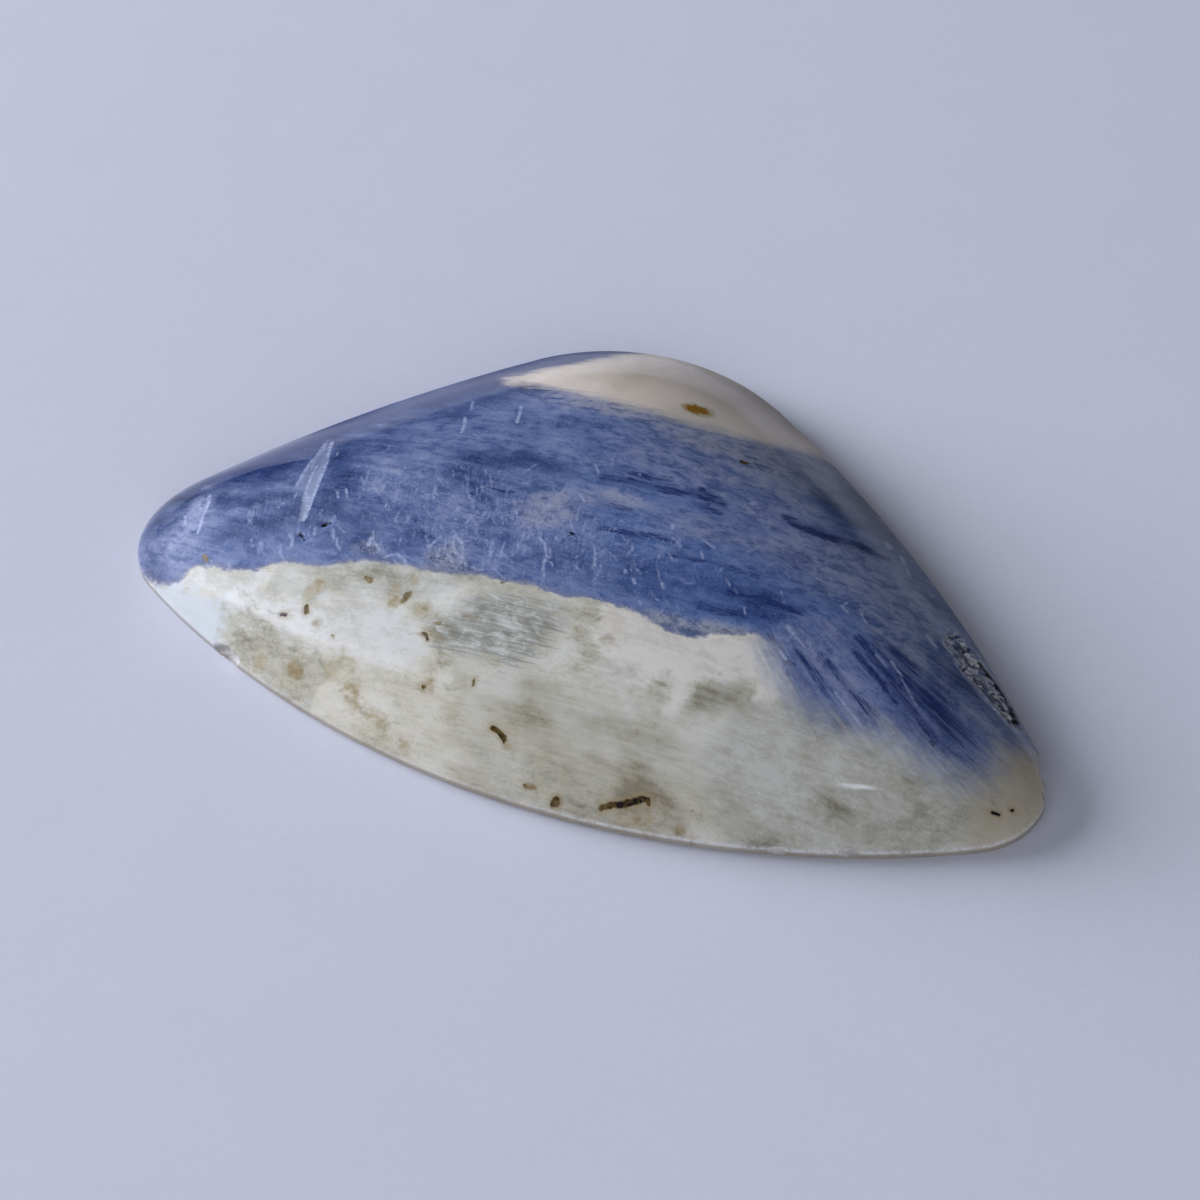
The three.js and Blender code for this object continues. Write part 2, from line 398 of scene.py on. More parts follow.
# Bright cleavage lines: a half width and a path.
BRIGHT_LINES = (
    (0.07, (-14.0, -0.8), (-13.62, -1.9), (-13.22, -2.8), (-12.97, -4.0), (-12.74, -5.2), (-12.64, -5.9)),
    (0.03, (-13.6, -3.0), (-13.4, -4.2), (-13.1, -5.2)),
    (0.07, (-13.02, -4.9), (-12.8, -5.5), (-12.66, -6.1)),
    (0.03, (-14.3, -0.9), (-14.1, -2.0), (-14.0, -3.4), (-13.88, -4.5)),
    (0.05, (-12.95, -6.85), (-12.75, -7.0), (-12.65, -7.35)),
    (0.06, (-18.0, -5.1), (-17.75, -5.6), (-17.6, -6.5), (-17.45, -7.15)),
    (0.05, (-18.6, -6.3), (-18.35, -6.7)),
    (0.03, (-18.25, -5.65), (-17.9, -6.0)),
    (0.05, (-8.7, 2.0), (-8.45, 1.4), (-8.3, 0.8)),
    (0.05, (-6.65, 3.5), (-6.4, 2.8), (-6.25, 2.2)),
    (0.03, (-9.1, 3.6), (-8.75, 2.7)),
    (0.04, (-11.1, -6.3), (-10.85, -6.75)),
    (0.03, (-11.35, -5.65), (-11.25, -5.85)),
    (0.04, (-11.95, -6.35), (-11.85, -6.65)),
    (0.06, (-9.25, -6.35), (-9.2, -6.65)),
    (0.03, (-2.3, -4.2), (-1.85, -4.45), (-1.55, -5.0), (-1.45, -5.6), (-1.25, -5.95)),
    (0.03, (0.15, -3.8), (0.35, -4.2), (0.6, -4.75)),
    (0.03, (-1.65, -1.3), (-1.25, -1.65)),
    (0.03, (-5.9, -5.0), (-5.5, -5.4), (-5.2, -5.6)),
    (0.035, (-6.3, -5.5), (-6.6, -6.2)),
    (0.035, (-5.2, -6.1), (-4.9, -6.2), (-4.6, -6.5)),
    (0.05, (-6.1, -6.1), (-6.0, -6.4)),
    (0.03, (-5.75, -5.2), (-5.6, -5.75), (-5.2, -6.15), (-4.75, -6.35)),
    (0.03, (-6.0, -5.6), (-5.8, -6.1), (-5.3, -6.5)),
    (0.03, (-5.3, -5.5), (-5.05, -5.9), (-4.9, -6.4)),
    (0.03, (-9.3, -6.0), (-9.05, -6.45), (-8.6, -6.75)),
    (0.03, (-8.2, -7.0), (-7.8, -6.75), (-7.3, -6.95), (-7.05, -7.3)),
    (0.05, (3.55, -4.45), (3.7, -4.65)),
    (0.04, (2.3, -4.7), (2.5, -4.9)),
    (0.05, (1.85, -4.45), (1.9, -4.55)),
    (0.05, (2.7, -1.35), (2.8, -1.6)),
    (0.09, (5.1, 1.85), (5.15, 2.0)),
    (0.04, (4.2, -1.55), (4.8, -1.75)),
    (0.06, (9.2, -1.0), (9.45, -0.95)),
    (0.035, (9.1, -4.2), (9.6, -4.5), (10.15, -4.8)),
    (0.04, (9.3, -5.4), (9.65, -5.65)),
    (0.045, (12.9, -3.6), (13.5, -3.92)),
    (0.04, (13.55, -3.55), (14.2, -4.0)),
    (0.025, (14.2, -4.1), (15.2, -4.95)),
    (0.025, (12.0, -6.1), (13.5, -6.9)),
    (0.045, (10.8, -1.55), (10.72, -1.95), (11.05, -2.1)),
    (0.045, (11.4, -1.55), (11.65, -1.9), (11.9, -2.15)),
    (0.09, (14.25, -0.75), (14.5, -0.95), (14.75, -1.15)),
    (0.16, (10.6, 4.6), (10.7, 4.3)),
    (0.11, (11.35, 4.3), (11.6, 3.8)),
    (0.07, (11.85, 3.5), (12.1, 3.1)),
    (0.03, (-11.85, -4.4), (-11.6, -4.75)),
    (0.03, (-11.5, -4.2), (-11.2, -4.65)),
)
# Scratches are laid at random: how many are tried, the ranges of their x, y and length, the mean and
# spread of their heading in degrees, how much they bend, and the widest half width.
SCRATCH_TRIES = 1300
SCRATCH_X = (-19, 14)
SCRATCH_Y = (-8.5, 4)
SCRATCH_LENGTH = (0.15, 0.85)
SCRATCH_HEADING = (-65, 26)
SCRATCH_BEND = 20
SCRATCH_WIDTH = 0.035
# The rough broken flake on the right flank.
FLAKE = (
    (14.8, 1.1), (15.3, 1.3), (15.8, 0.8), (16.4, 0.2), (17.3, -0.3), (18.0, -0.9), (18.9, -1.7),
    (19.3, -2.2), (18.8, -2.8), (18.0, -2.4), (17.0, -2.0), (16.2, -1.6), (15.4, -1.0), (14.9, -0.5),
)  # fmt: skip

# The matrix: opaque cream, bright white, smooth blue-grey, and see-through grey-green quartz.
CREAM = (
    (1.6, -5.5), (9.5, -4.5), (9.9, -6.3), (9.8, -7.4), (9.0, -7.7), (8.9, -7.1), (8.2, -7.0),
    (7.4, -7.5), (6.7, -8.1), (6.5, -9.3), (6.0, -9.6), (5.9, -8.2), (5.3, -8.0), (4.7, -8.8),
    (4.0, -8.1), (3.0, -8.4), (2.2, -8.0), (1.5, -7.6),
)  # fmt: skip
WHITE = (
    (-17.3, -8.4), (-13.4, -8.4), (-13.1, -9.35), (-11.2, -9.55), (-9.9, -9.3), (-8.6, -8.9),
    (-6.4, -9.2), (-5.6, -9.8), (-5.0, -10.4), (-5.2, -11.0), (-6.6, -11.2), (-9.0, -11.0),
    (-12.2, -10.4), (-14.9, -9.7), (-17.0, -9.1),
)  # fmt: skip
BLUE_GREY = (
    (-19.0, -8.8), (-16.8, -9.2), (-15.0, -9.75), (-14.5, -10.4), (-14.8, -11.6), (-19.0, -10.4),
)  # fmt: skip
STRIPED = (
    (-3.7, -7.2), (-2.6, -7.1), (-1.6, -6.9), (0.2, -6.9), (0.5, -7.8), (0.2, -8.9), (-0.6, -9.9),
    (-2.6, -10.1), (-4.3, -10.0), (-4.9, -9.2), (-4.3, -8.75), (-3.9, -8.3),
)  # fmt: skip
# See-through parts: how wide the soft edge is, a strength and an outline.
SEE_THROUGH = (
    (0.12, 1.0, (-15.0, -9.65), (-13.6, -9.95), (-12.1, -10.4), (-9.6, -10.95), (-8.6, -11.9),
     (-9.9, -13.2), (-14.8, -12.0)),
    (0.25, 0.75, (-13.1, -8.1), (-10.2, -7.8), (-10.1, -9.3), (-11.2, -9.5), (-12.9, -9.3)),
    (1.4, 0.6, (-3.2, -10.2), (0.3, -10.0), (7.5, -10.0), (8.2, -13.6), (-2.0, -14.4)),
    (0.9, 0.8, (8.8, -7.6), (11.0, -7.2), (19.0, -7.0), (22.0, -9.0), (12.0, -14.0), (7.4, -10.8)),
    (0.5, 0.6, (6.6, -8.0), (8.4, -7.1), (9.0, -7.4), (8.0, -9.4), (6.6, -9.2)),
    (1.0, 1.15, (-2.4, -12.6), (1.5, -12.6), (7.5, -12.3), (8.5, -13.4), (0.0, -14.2)),
    (0.4, 0.9, (-10.6, -7.4), (-6.0, -6.8), (-3.6, -6.6), (-5.2, -8.2), (-8.4, -8.9), (-10.4, -8.7)),
)
# In the matrix, clouds that are whiter or darker than the rest.
WHITE_CLOUDS = (
    (-4.7, -8.0, 0.9, 0.8, 0, 0.8),
    (0.8, -8.3, 0.75, 1.2, -20, 0.85),
    (0.3, -9.3, 1.0, 0.5, 20, 0.5),
    (-1.1, -10.9, 1.2, 0.9, 10, 0.8),
    (-2.2, -10.5, 0.7, 0.4, 0, 0.5),
    (-4.0, -12.1, 1.2, 0.7, -10, 0.55),
    (-7.4, -10.2, 2.8, 1.3, 5, 0.35),
    (6.15, -8.9, 0.28, 1.2, 5, 0.85),
    (9.6, -7.0, 0.5, 0.9, 10, 0.7),
    (10.6, -8.7, 1.2, 0.8, 20, 0.4),
    (13.4, -9.0, 1.8, 0.7, 15, 0.3),
    (2.9, -9.4, 1.0, 0.6, 10, 0.4),
    (-15.6, -9.4, 1.6, 0.5, -20, 0.7),
    (8.4, -9.4, 1.8, 1.3, 10, 0.8),
    (10.2, -10.2, 1.0, 0.8, 10, 0.5),
)
DARK_CLOUDS = (
    (5.7, -12.35, 1.5, 0.75, 12, 0.9),
    (3.4, -12.4, 1.0, 0.7, 0, 0.55),
    (1.6, -11.3, 2.0, 0.6, 5, 0.4),
    (3.9, -10.8, 2.2, 0.5, 6, 0.45),
    (-2.5, -11.7, 0.7, 1.0, 10, 0.65),
    (-3.9, -10.6, 0.9, 0.5, 30, 0.8),
    (-4.5, -9.4, 0.7, 0.5, 20, 0.8),
    (-1.0, -12.9, 1.6, 0.5, 0, 0.4),
    (4.1, -8.4, 0.35, 0.5, -20, 0.55),
    (4.9, -9.2, 0.9, 0.45, 10, 0.5),
    (5.45, -8.5, 0.32, 0.5, -20, 0.7),
    (6.9, -8.5, 0.4, 0.7, 0, 0.4),
    (7.9, -7.9, 0.9, 0.5, 30, 0.3),
    (9.0, -7.4, 0.2, 0.35, 0, 0.6),
    (12.2, -11.9, 3.0, 0.6, 18, 0.5),
    (-10.8, -9.0, 0.5, 0.4, 50, 0.7),
    (-8.9, -7.7, 2.0, 0.45, 6, 0.75),
    (-4.2, -7.0, 1.4, 0.3, 4, 0.6),
    (-3.9, -8.7, 0.7, 0.8, 0, 0.5),
    (-9.9, -8.6, 0.7, 0.5, 0, 0.5),
    (-4.0, -9.9, 0.9, 0.6, 10, 0.6),
    (8.4, -11.6, 1.4, 0.6, 10, 0.5),
    (-13.0, -10.9, 2.2, 0.6, -18, 0.55),
)
# Stains, flecks, near-black dots in the pits and a painted shadow line along the flake: a half width, how
# dark it is (0.3 is tan and 1 or more near black), and a path.
FLECKS_AND_SHADOW = (
    (0.08, 0.62, (-8.62, -8.03), (-8.35, -8.2)),
    (0.12, 0.6, (-6.48, -8.32), (-6.6, -8.62)),
    (0.2, 0.35, (-6.95, -8.85), (-6.9, -8.7)),
    (0.1, 0.3, (-7.1, -8.2), (-7.15, -8.5)),
    (0.2, 0.38, (-5.7, -8.8), (-5.55, -8.7)),
    (0.08, 0.4, (-6.55, -7.6), (-6.4, -7.72)),
    (0.25, 0.3, (-10.85, -9.0), (-10.6, -8.75)),
    (0.11, 0.75, (-10.8, -9.65), (-10.65, -9.85)),
    (0.07, 0.95, (-11.8, -10.06), (-11.58, -10.06)),
    (0.12, 0.45, (-10.1, -10.15), (-9.95, -10.25)),
    (0.06, 0.6, (-9.12, -10.5), (-9.08, -10.52)),
    (0.055, 0.85, (-5.15, -9.72), (-4.95, -9.75), (-4.82, -9.9)),
    (0.08, 0.55, (-4.8, -9.2), (-4.6, -9.15)),
    (0.075, 0.95, (-4.32, -11.52), (-4.28, -11.54)),
    (0.16, 0.4, (-4.25, -11.45), (-4.1, -11.35)),
    (0.04, 0.7, (-2.22, -10.8), (-2.2, -10.98)),
    (0.2, 0.5, (-10.55, -11.75), (-10.15, -11.85)),
    (0.12, 0.4, (-12.3, -11.6), (-12.0, -11.65)),
    (0.2, 0.2, (-8.8, -11.6), (-8.6, -11.7)),
    (0.06, 0.3, (-8.3, -11.0), (-8.1, -11.35)),
    (0.05, 0.3, (-8.0, -11.2), (-7.7, -11.4)),
    (0.13, 0.38, (-7.8, -12.05), (-7.2, -12.15), (-7.05, -12.5)),
    (0.07, 0.42, (-7.5, -12.4), (-6.6, -12.7), (-6.0, -12.75), (-5.4, -13.0)),
    (0.1, 0.35, (-6.2, -12.65), (-5.7, -12.9)),
    (0.09, 0.9, (-0.85, -12.2), (-0.5, -12.24), (-0.22, -12.34)),
    (0.06, 0.8, (-0.25, -12.34), (-0.02, -12.52)),
    (0.1, 0.25, (0.0, -12.5), (0.3, -12.6)),
    (0.075, 0.88, (4.55, -13.18), (5.1, -12.97)),
    (0.08, 0.93, (5.1, -12.97), (5.6, -12.77), (6.1, -12.54), (6.4, -12.44)),
    (0.07, 0.8, (6.38, -12.42), (6.45, -12.58)),
    (0.035, 0.6, (1.2, -13.42), (1.7, -13.37)),
    (0.1, 0.82, (2.55, -13.52), (2.75, -13.46)),
    (0.05, 0.45, (-4.6, -13.3), (-4.2, -13.35)),
    (0.12, 0.3, (5.5, -13.2), (6.6, -12.95)),
    (0.09, 0.5, (7.85, -12.75), (8.05, -12.72)),
    (0.05, 0.7, (8.4, -12.85), (8.5, -12.8)),
    (0.06, 1.3, (19.5, -7.22), (19.8, -7.1)),
    (0.045, 1.1, (20.1, -6.62), (20.22, -6.56)),
    (0.03, 0.5, (19.4, -6.85), (19.5, -6.8)),
    (0.05, 0.35, (1.15, -7.75), (1.17, -8.05)),
    (0.1, 0.3, (2.3, -7.7), (2.5, -7.62)),
    (0.05, 0.6, (-2.85, -6.82), (-2.75, -6.78)),
    (0.05, 0.58, (-16.7, -8.1), (-16.4, -8.28)),
    (0.07, 1.5, (-11.72, -6.2), (-11.62, -6.12)),
    (0.05, 1.5, (-11.42, -6.02), (-11.46, -6.0)),
    (0.06, 1.5, (-12.52, -6.78), (-12.4, -6.82)),
    (0.04, 1.5, (-12.25, -6.95), (-12.2, -6.98)),
    (0.1, 0.85, (3.6, 4.5), (3.8, 4.53)),
    (0.045, 1.2, (-1.08, -3.5), (-0.9, -3.52)),
    # The last one is painted shade: a dark line along the outer edge of the rough flake.
    (0.1, 1.3, (16.5, 0.15), (17.1, -0.2), (17.75, -0.65), (18.4, -1.25), (18.95, -1.95)),
)
CRACKS = (
    ((-14.1, -9.3), (-13.6, -9.5), (-13.2, -9.75), (-13.1, -9.95), (-12.5, -10.02), (-11.8, -10.06)),
    ((-11.6, -10.05), (-11.2, -10.1)),
    ((-5.9, -9.9), (-5.2, -9.78)),
)
CRACK_HALF_WIDTH = 0.03  # hairlines
AMBER_SPOT = ((0.35, 6.83), (0.68, 6.92))
AMBER_RADIUS = 0.36


# ---------------------------------------------------------------- marks as numbers at each place

# The first blades: their slope seen from above, how they fan out and bend towards the right for each
# millimetre, and how they dip into the stone. The second ones fan out from their root: the radius turns
# an angle there into millimetres, and the shift takes them to another part of the noise.
BLADE_SLOPE = 0.13
BLADE_FAN = 0.018
BLADE_BEND = 0.003
BLADE_DIP = 0.35
SECOND_RADIUS = 11.0
SECOND_DIP = 0.25
SECOND_SHIFT = 40
GRAIN_HEIGHT = 0.3  # the grain changes more slowly upwards than across

# Thin marks are measured from a little outside their edge, where the mesh still follows their distance.
SLACK = 0.05
# A cloud is full up to the first share of its size and gone at the second.
CLOUD_FADE = (0.2, 1.3)
# Soft glows: centre x and y, spread in x and y, and strength.
COMBED_GLOWS = (
    (-4.0, -3.8, 6.5, 2.4, 1.0),
    (-14.0, -6.0, 3.0, 1.6, 0.3),
    (7.0, -0.5, 6.0, 3.0, 0.14),
)
VIVID_FRONT = (6.5, -1.4, 8.0, 4.6, 0.8)
HAZY_LEFT = (-14.5, -5.3, 4.0, 1.4, 0.3)
# On each back flank one stretch is glossier than the rest, and on the left it has less painted shade: its
# x and how far it spreads.
LEFT_GLEAM = (-12.4, 1.9)
RIGHT_GLEAM = (8.0, 4.0)
LEFT_OUTWARD = (-0.78, 0.62)  # the way the left flank faces, seen from above


def blade_grain(x, y, z):
    """Coordinates of the kyanite: along the blades, across them and up through the stone."""
    along = x + BLADE_SLOPE * y
    across = (1 - BLADE_FAN * x) * y - BLADE_SLOPE * x - BLADE_BEND * x * x + BLADE_DIP * z
    root_x, root_y = SECOND_BLADES_ROOT
    fan_along = np.hypot(x - root_x, y - root_y)
    fan_across = SECOND_RADIUS * np.arctan2(y - root_y, x - root_x) + SECOND_DIP * z
    second = inside(x, y, SECOND_BLADES) > 0
    return np.column_stack([
        np.where(second, fan_along + SECOND_SHIFT, along),
        np.where(second, fan_across, across),
        GRAIN_HEIGHT * z,
    ])


def strongest(marks):
    return np.max(marks, axis=0)


def hump(value, centre, spread):
    """1 at the centre, falling away smoothly on both sides."""
    return np.exp(-(((value - centre) / spread) ** 2))


def glow(x, y, cx, cy, spread_x, spread_y, strength):
    return strength * np.exp(-(((x - cx) / spread_x) ** 2) - (((y - cy) / spread_y) ** 2))


def clouded(x, y, clouds):
    """How strongly a place is covered by soft oval clouds, from 0 to 1."""
    open_share = np.ones_like(x)
    for cx, cy, half_length, half_width, tilt, strength in clouds:
        turn = math.radians(tilt)
        along = (x - cx) * math.cos(turn) + (y - cy) * math.sin(turn)
        across = (y - cy) * math.cos(turn) - (x - cx) * math.sin(turn)
        away = np.hypot(along / half_length, across / half_width)
        open_share *= 1 - strength * (1 - soft(away, *CLOUD_FADE))
    return 1 - open_share


def combed_density(x, y):
    """Where the polish left fine scratches across the blades: mostly in the middle of the blue."""
    return np.clip(sum(glow(x, y, *part) for part in COMBED_GLOWS), 0, 1)


def vividness(x, y):
    """How saturated the blue is: most in the front middle, least at the left end and the back."""
    inner = 0.5 * soft(x, -20.0, -15.5) * soft(-y, -6.5, -3.5)
    return np.clip(inner + glow(x, y, *VIVID_FRONT) - glow(x, y, *HAZY_LEFT), 0, 1)


def painted_left_flank_shade(x, y):
    """Painted shade, darker where the left flank turns away, strongest a little inside the girdle."""
    out = reach(x, y)
    ring = soft(out, 0.6, 0.8) * (1 - 0.7 * soft(out, 0.86, 0.96))
    outward = LEFT_OUTWARD[0] * x + LEFT_OUTWARD[1] * y
    on_left_flank = soft(outward, 6.0, 9.5) * soft(y, -4.8, -3.0)
    return ring * (1 - 0.4 * hump(x, *LEFT_GLEAM)) * on_left_flank


def flank_dullness(x, y):
    """The back flanks are less polished, most on the left and least in the middle of the right one."""
    back = soft(reach(x, y), 0.72, 0.95) * soft(y - 0.12 * np.abs(x), -2.5, 0.5)
    left = 0.25 * soft(-x, 3.0, 8.0) - 0.35 * hump(x, *LEFT_GLEAM)
    return back * (1 + left - 0.22 * hump(x, *RIGHT_GLEAM))


def step_from(point, degrees, length):
    turn = math.radians(degrees)
    return point[0] + length * math.cos(turn), point[1] + length * math.sin(turn)


def scratched(x, y):
    """Signed distance to short, slightly bent scratches laid down at random, positive on them."""
    rng = np.random.default_rng(8)
    best = np.full(x.shape, -1.0)
    for _ in range(SCRATCH_TRIES):
        sx, sy = rng.uniform(*SCRATCH_X), rng.uniform(*SCRATCH_Y)
        turn, length = rng.normal(*SCRATCH_HEADING), rng.uniform(*SCRATCH_LENGTH)
        bend, width, chance = rng.normal(0, SCRATCH_BEND), rng.uniform(0, SCRATCH_WIDTH), rng.uniform()
        if chance > combed_density(sx, sy):
            continue
        middle = step_from((sx, sy), turn, length / 2)
        end = step_from(middle, turn + bend, length / 2)
        near = np.hypot(x - middle[0], y - middle[1]) < length
        mark = width - path_distance(x[near], y[near], ((sx, sy), middle, end))
        best[near] = np.maximum(best[near], mark)
    return best


def wavered(x, y, amounts, cells, seed, octaves=4):
    """The places shifted by noise, so that what is drawn there gets an uneven edge."""
    shifts = [fractal(x * cells[0], y * cells[1], seed + k, octaves) for k in (0, 6)]
    return x + amounts[0] * shifts[0], y + amounts[1] * shifts[1]


def fleck_and_shadow_marks(x, y):
    """Signed distance to the nearest stain, fleck or painted shadow line, and how dark that one is."""
    x, y = wavered(x, y, (0.045, 0.045), (3, 3), 61, 2)
    edges = np.array([width - SLACK - path_distance(x, y, path) for width, _, *path in FLECKS_AND_SHADOW])
    shades = np.array([dark for _, dark, *_ in FLECKS_AND_SHADOW])
    return {"fleck": edges.max(axis=0), "darkness": shades[edges.argmax(axis=0)]}


def zone_marks(x, y):
    """The stone's coloured zones, with wavering edges."""
    outlines = {
        "kyanite": KYANITE_EDGE,
        "cap": CAP,
        "flake": FLAKE,
        "cream": CREAM,
        "white": WHITE,
        "blue_grey": BLUE_GREY,
        "striped": STRIPED,
    }
    marks = {name: inside(x, y, corners) for name, corners in outlines.items()}
    marks["grey"] = strongest([
        strength * soft(inside(x, y, corners), -0.25, 0.3) for strength, *corners in GREY_BANDS
    ])
    marks["clear"] = strongest([
        strength * soft(inside(x, y, corners), -width, width)
        for width, strength, *corners in SEE_THROUGH
    ])
    marks["crack"] = strongest([CRACK_HALF_WIDTH - path_distance(x, y, path) for path in CRACKS])
    marks["amber"] = AMBER_RADIUS - path_distance(x, y, AMBER_SPOT)
    return marks


def cloud_marks(x, y):
    lists = {
        "deep": DEEP_AND_SHADE_CLOUDS,
        "pale": PALE_CLOUDS,
        "warm": WARM_CLOUDS,
        "whiter": WHITE_CLOUDS,
        "darker": DARK_CLOUDS,
    }
    return {name: clouded(x, y, clouds) for name, clouds in lists.items()}


def height_marks(x, z):
    """What depends on the height: the back, painted shade on the upright wall and a painted highlight on
    the ridge above it.
    """
    along_front = 0.3 + 0.7 * soft(x, -1.0, 5.0)
    return {
        "back": soft(BEVEL_HEIGHT - z, 0.0, 0.1),
        "wall": soft(GIRDLE_TOP - 0.02 - z, 0.0, 0.1),
        "ridge": along_front * hump(z, GIRDLE_TOP + 0.06, 0.08),
    }


def markings(x, y, z):
    """Every mark as a number at each place: signed distances in mm, or strengths from 0 to 1."""
    return {
        **zone_marks(*wavered(x, y, (0.1, 0.1), (1.1, 1.1), 3)),
        **cloud_marks(*wavered(x, y, (0.3, 0.22), (0.7, 0.9), 53)),
        **fleck_and_shadow_marks(x, y),
        **height_marks(x, z),
        "second": inside(x, y, SECOND_BLADES),
        "feather": inside(x, y, FEATHER),
        "lift": clouded(x, y, PAINTED_LIGHT_CLOUDS),
        "seam": strongest([width - path_distance(x, y, path) for width, *path in SEAMS]),
        "line": strongest([width - SLACK - path_distance(x, y, path) for width, *path in BRIGHT_LINES]),
        "scratch": scratched(x, y),
        "combed": combed_density(x, y),
        "tip": soft(x, 17.2, 20.6),
        "stained": soft(-y, 9.5, 12.5) * soft(-x, -10.5, -6.0) * soft(x, -15.0, -11.0),
        "vivid": vividness(x, y),
        "shade": painted_left_flank_shade(x, y),
        "dull": flank_dullness(x, y),
    }


# ---------------------------------------------------------------- the mesh


def ring_at(points, inset):
    """The outline moved towards the crown by the inset."""
    arms = points - CROWN
    length = np.hypot(*arms.T)[:, None]
    return CROWN + arms * (1 - inset / length)


def hex_grid(spacing, inset):
    """Places of a triangular grid that lie further in than the inset."""
    half = np.abs(FINE_OUTLINE).max(axis=0)
    rows = np.arange(-half[1], half[1], spacing * math.sqrt(3) / 2)
    columns = np.arange(-half[0], half[0], spacing)
    x, y = np.meshgrid(columns, rows)
    x = x + np.where(np.arange(len(rows)) % 2, spacing / 2, 0)[:, None]
    x, y = x.ravel(), y.ravel()
    ratio = reach(x, y)
    arm = np.hypot(x - CROWN[0], y - CROWN[1])
    depth = np.where(ratio < 1, arm / np.maximum(ratio, 1e-6) - arm, -1)
    keep = depth > inset
    return np.column_stack([x[keep], y[keep]])


def fill(boundary, grid):
    """Triangles over the grid's places inside a boundary ring. The ring's own places come first."""
    count = len(boundary)
    points = [Vector(p) for p in np.vstack([boundary, grid]).tolist()]
    edges = [(i, (i + 1) % count) for i in range(count)]
    placed, _, faces, *_ = delaunay_2d_cdt(points, edges, [], 1, 1e-6)
    if len(placed) != len(points):
        raise ValueError("the triangulation moved or merged places")
    return np.array([face for face in faces if len(face) == 3])


def strip(low, high, count):
    """Triangles between two rings of the same count that start at those vertex numbers."""
    i = np.arange(count)
    j = (i + 1) % count
    return np.vstack([
        np.column_stack([low + i, low + j, high + j]),
        np.column_stack([low + i, high + j, high + i]),
    ])


def stone_surface():
    """Vertices in mm, triangles, and the number of the first triangle of the flat back."""
    perimeter = np.hypot(*np.diff(FINE_OUTLINE, axis=0).T).sum()
    count = int(perimeter / SPACING)
    edge = outline(count)
    levels = [(BEVEL_WIDTH, 0.0), (BEVEL_WIDTH / 2, BEVEL_HEIGHT / 2)]
    for k in range(WALL_STEPS):
        levels.append((0.0, BEVEL_HEIGHT + (GIRDLE_TOP - BEVEL_HEIGHT) * k / WALL_STEPS))
    rings = []
    for inset, z in levels:
        flat = ring_at(edge, inset)
        rings.append(np.column_stack([flat, np.full(count, z)]))
    for inset in RIM_INSETS:
        flat = ring_at(edge, inset)
        rings.append(np.column_stack([flat, dome_height(*flat.T)]))
    faces = [strip(k * count, (k + 1) * count, count) for k in range(len(rings) - 1)]

    top_grid = hex_grid(SPACING, RIM_INSETS[-1] + RIM_GAP)
    top_first = (len(rings) - 1) * count
    faces.append(fill(rings[-1][:, :2], top_grid) + top_first)

    back_grid = hex_grid(BASE_SPACING, BEVEL_WIDTH + BASE_SPACING / 2)
    back_first = len(rings) * count + len(top_grid)
    back = fill(rings[0][:, :2], back_grid)
    back = np.where(back < count, back, back - count + back_first)
    back_starts = sum(len(f) for f in faces)
    faces.append(back[:, ::-1])

    vertices = np.vstack([
        *rings,
        np.column_stack([top_grid, dome_height(*top_grid.T)]),
        np.column_stack([back_grid, np.zeros(len(back_grid))]),
    ])
    return vertices, np.vstack(faces), back_starts


# How deep each kind of relief is, in mm.
CHIP_RIPPLE = 0.16  # as a share of the chip's size
FLAKE_DEPTH = 0.04
FLAKE_ROUGHNESS = 0.2
LINE_DEPTH = 0.02
FEATHER_DEPTH = 0.012
WAVINESS = 0.004
DEEPEST = 0.35
HIGHEST = 0.01
PUSH_RISE = 9.0  # relief is pushed in steeply: by so many mm of height, towards the crown's axis


def break_chips(vertices):
    """Pushes the surface back to each chip's hollow, with the ripples of a fresh break."""
    for x, y, depth, half_length, half_height in CHIPS:
        out = np.array([x, y]) - CROWN
        out = out / np.hypot(*out)
        centre = np.array([x + out[0] * depth, y + out[1] * depth, GIRDLE_TOP])
        offset = vertices - centre
        across = offset[:, 0] * out[0] + offset[:, 1] * out[1]
        along = -offset[:, 0] * out[1] + offset[:, 1] * out[0]
        places = 3.5 * vertices[:, 0], 3.5 * vertices[:, 1] + 3 * vertices[:, 2]
        ripple = 1 + CHIP_RIPPLE * fractal(*places, 21)
        room = ripple**2 - (along / half_length) ** 2 - (offset[:, 2] / half_height) ** 2
        hollow = -2 * depth * np.sqrt(np.clip(room, 0, None))
        hit = (room > 0) & (across > hollow)
        vertices[hit, :2] += (hollow - across)[hit, None] * out
    return vertices


def weather(vertices, marks):
    """Pits, the rough flake, cleavage grooves and a faint waviness, as real relief."""
    x, y, z = vertices.T
    drop = np.zeros(len(x))
    for px, py, radius, depth in PITS:
        drop += depth * np.exp(-(((x - px) ** 2 + (y - py) ** 2) / radius**2))
    rough = np.abs(fractal(x * 2.2, y * 1.4, 31)) + 0.5 * np.abs(fractal(x * 6.0, y * 4.0, 37, 3))
    drop += soft(marks["flake"], -0.05, 0.2) * (FLAKE_DEPTH + FLAKE_ROUGHNESS * rough)
    drop += LINE_DEPTH * soft(marks["line"], -0.05, 0.02)
    drop += FEATHER_DEPTH * soft(marks["feather"], -0.1, 0.1)
    drop += WAVINESS * fractal(x * 0.35, y * 0.35, 41, 2)
    nudge = np.clip(drop, -HIGHEST, DEEPEST) * soft(z, GIRDLE_TOP, GIRDLE_TOP + 0.4)
    out = np.column_stack([x - CROWN[0], y - CROWN[1], np.full(len(x), PUSH_RISE)])
    out /= np.linalg.norm(out, axis=1)[:, None]
    return vertices - out * nudge[:, None]


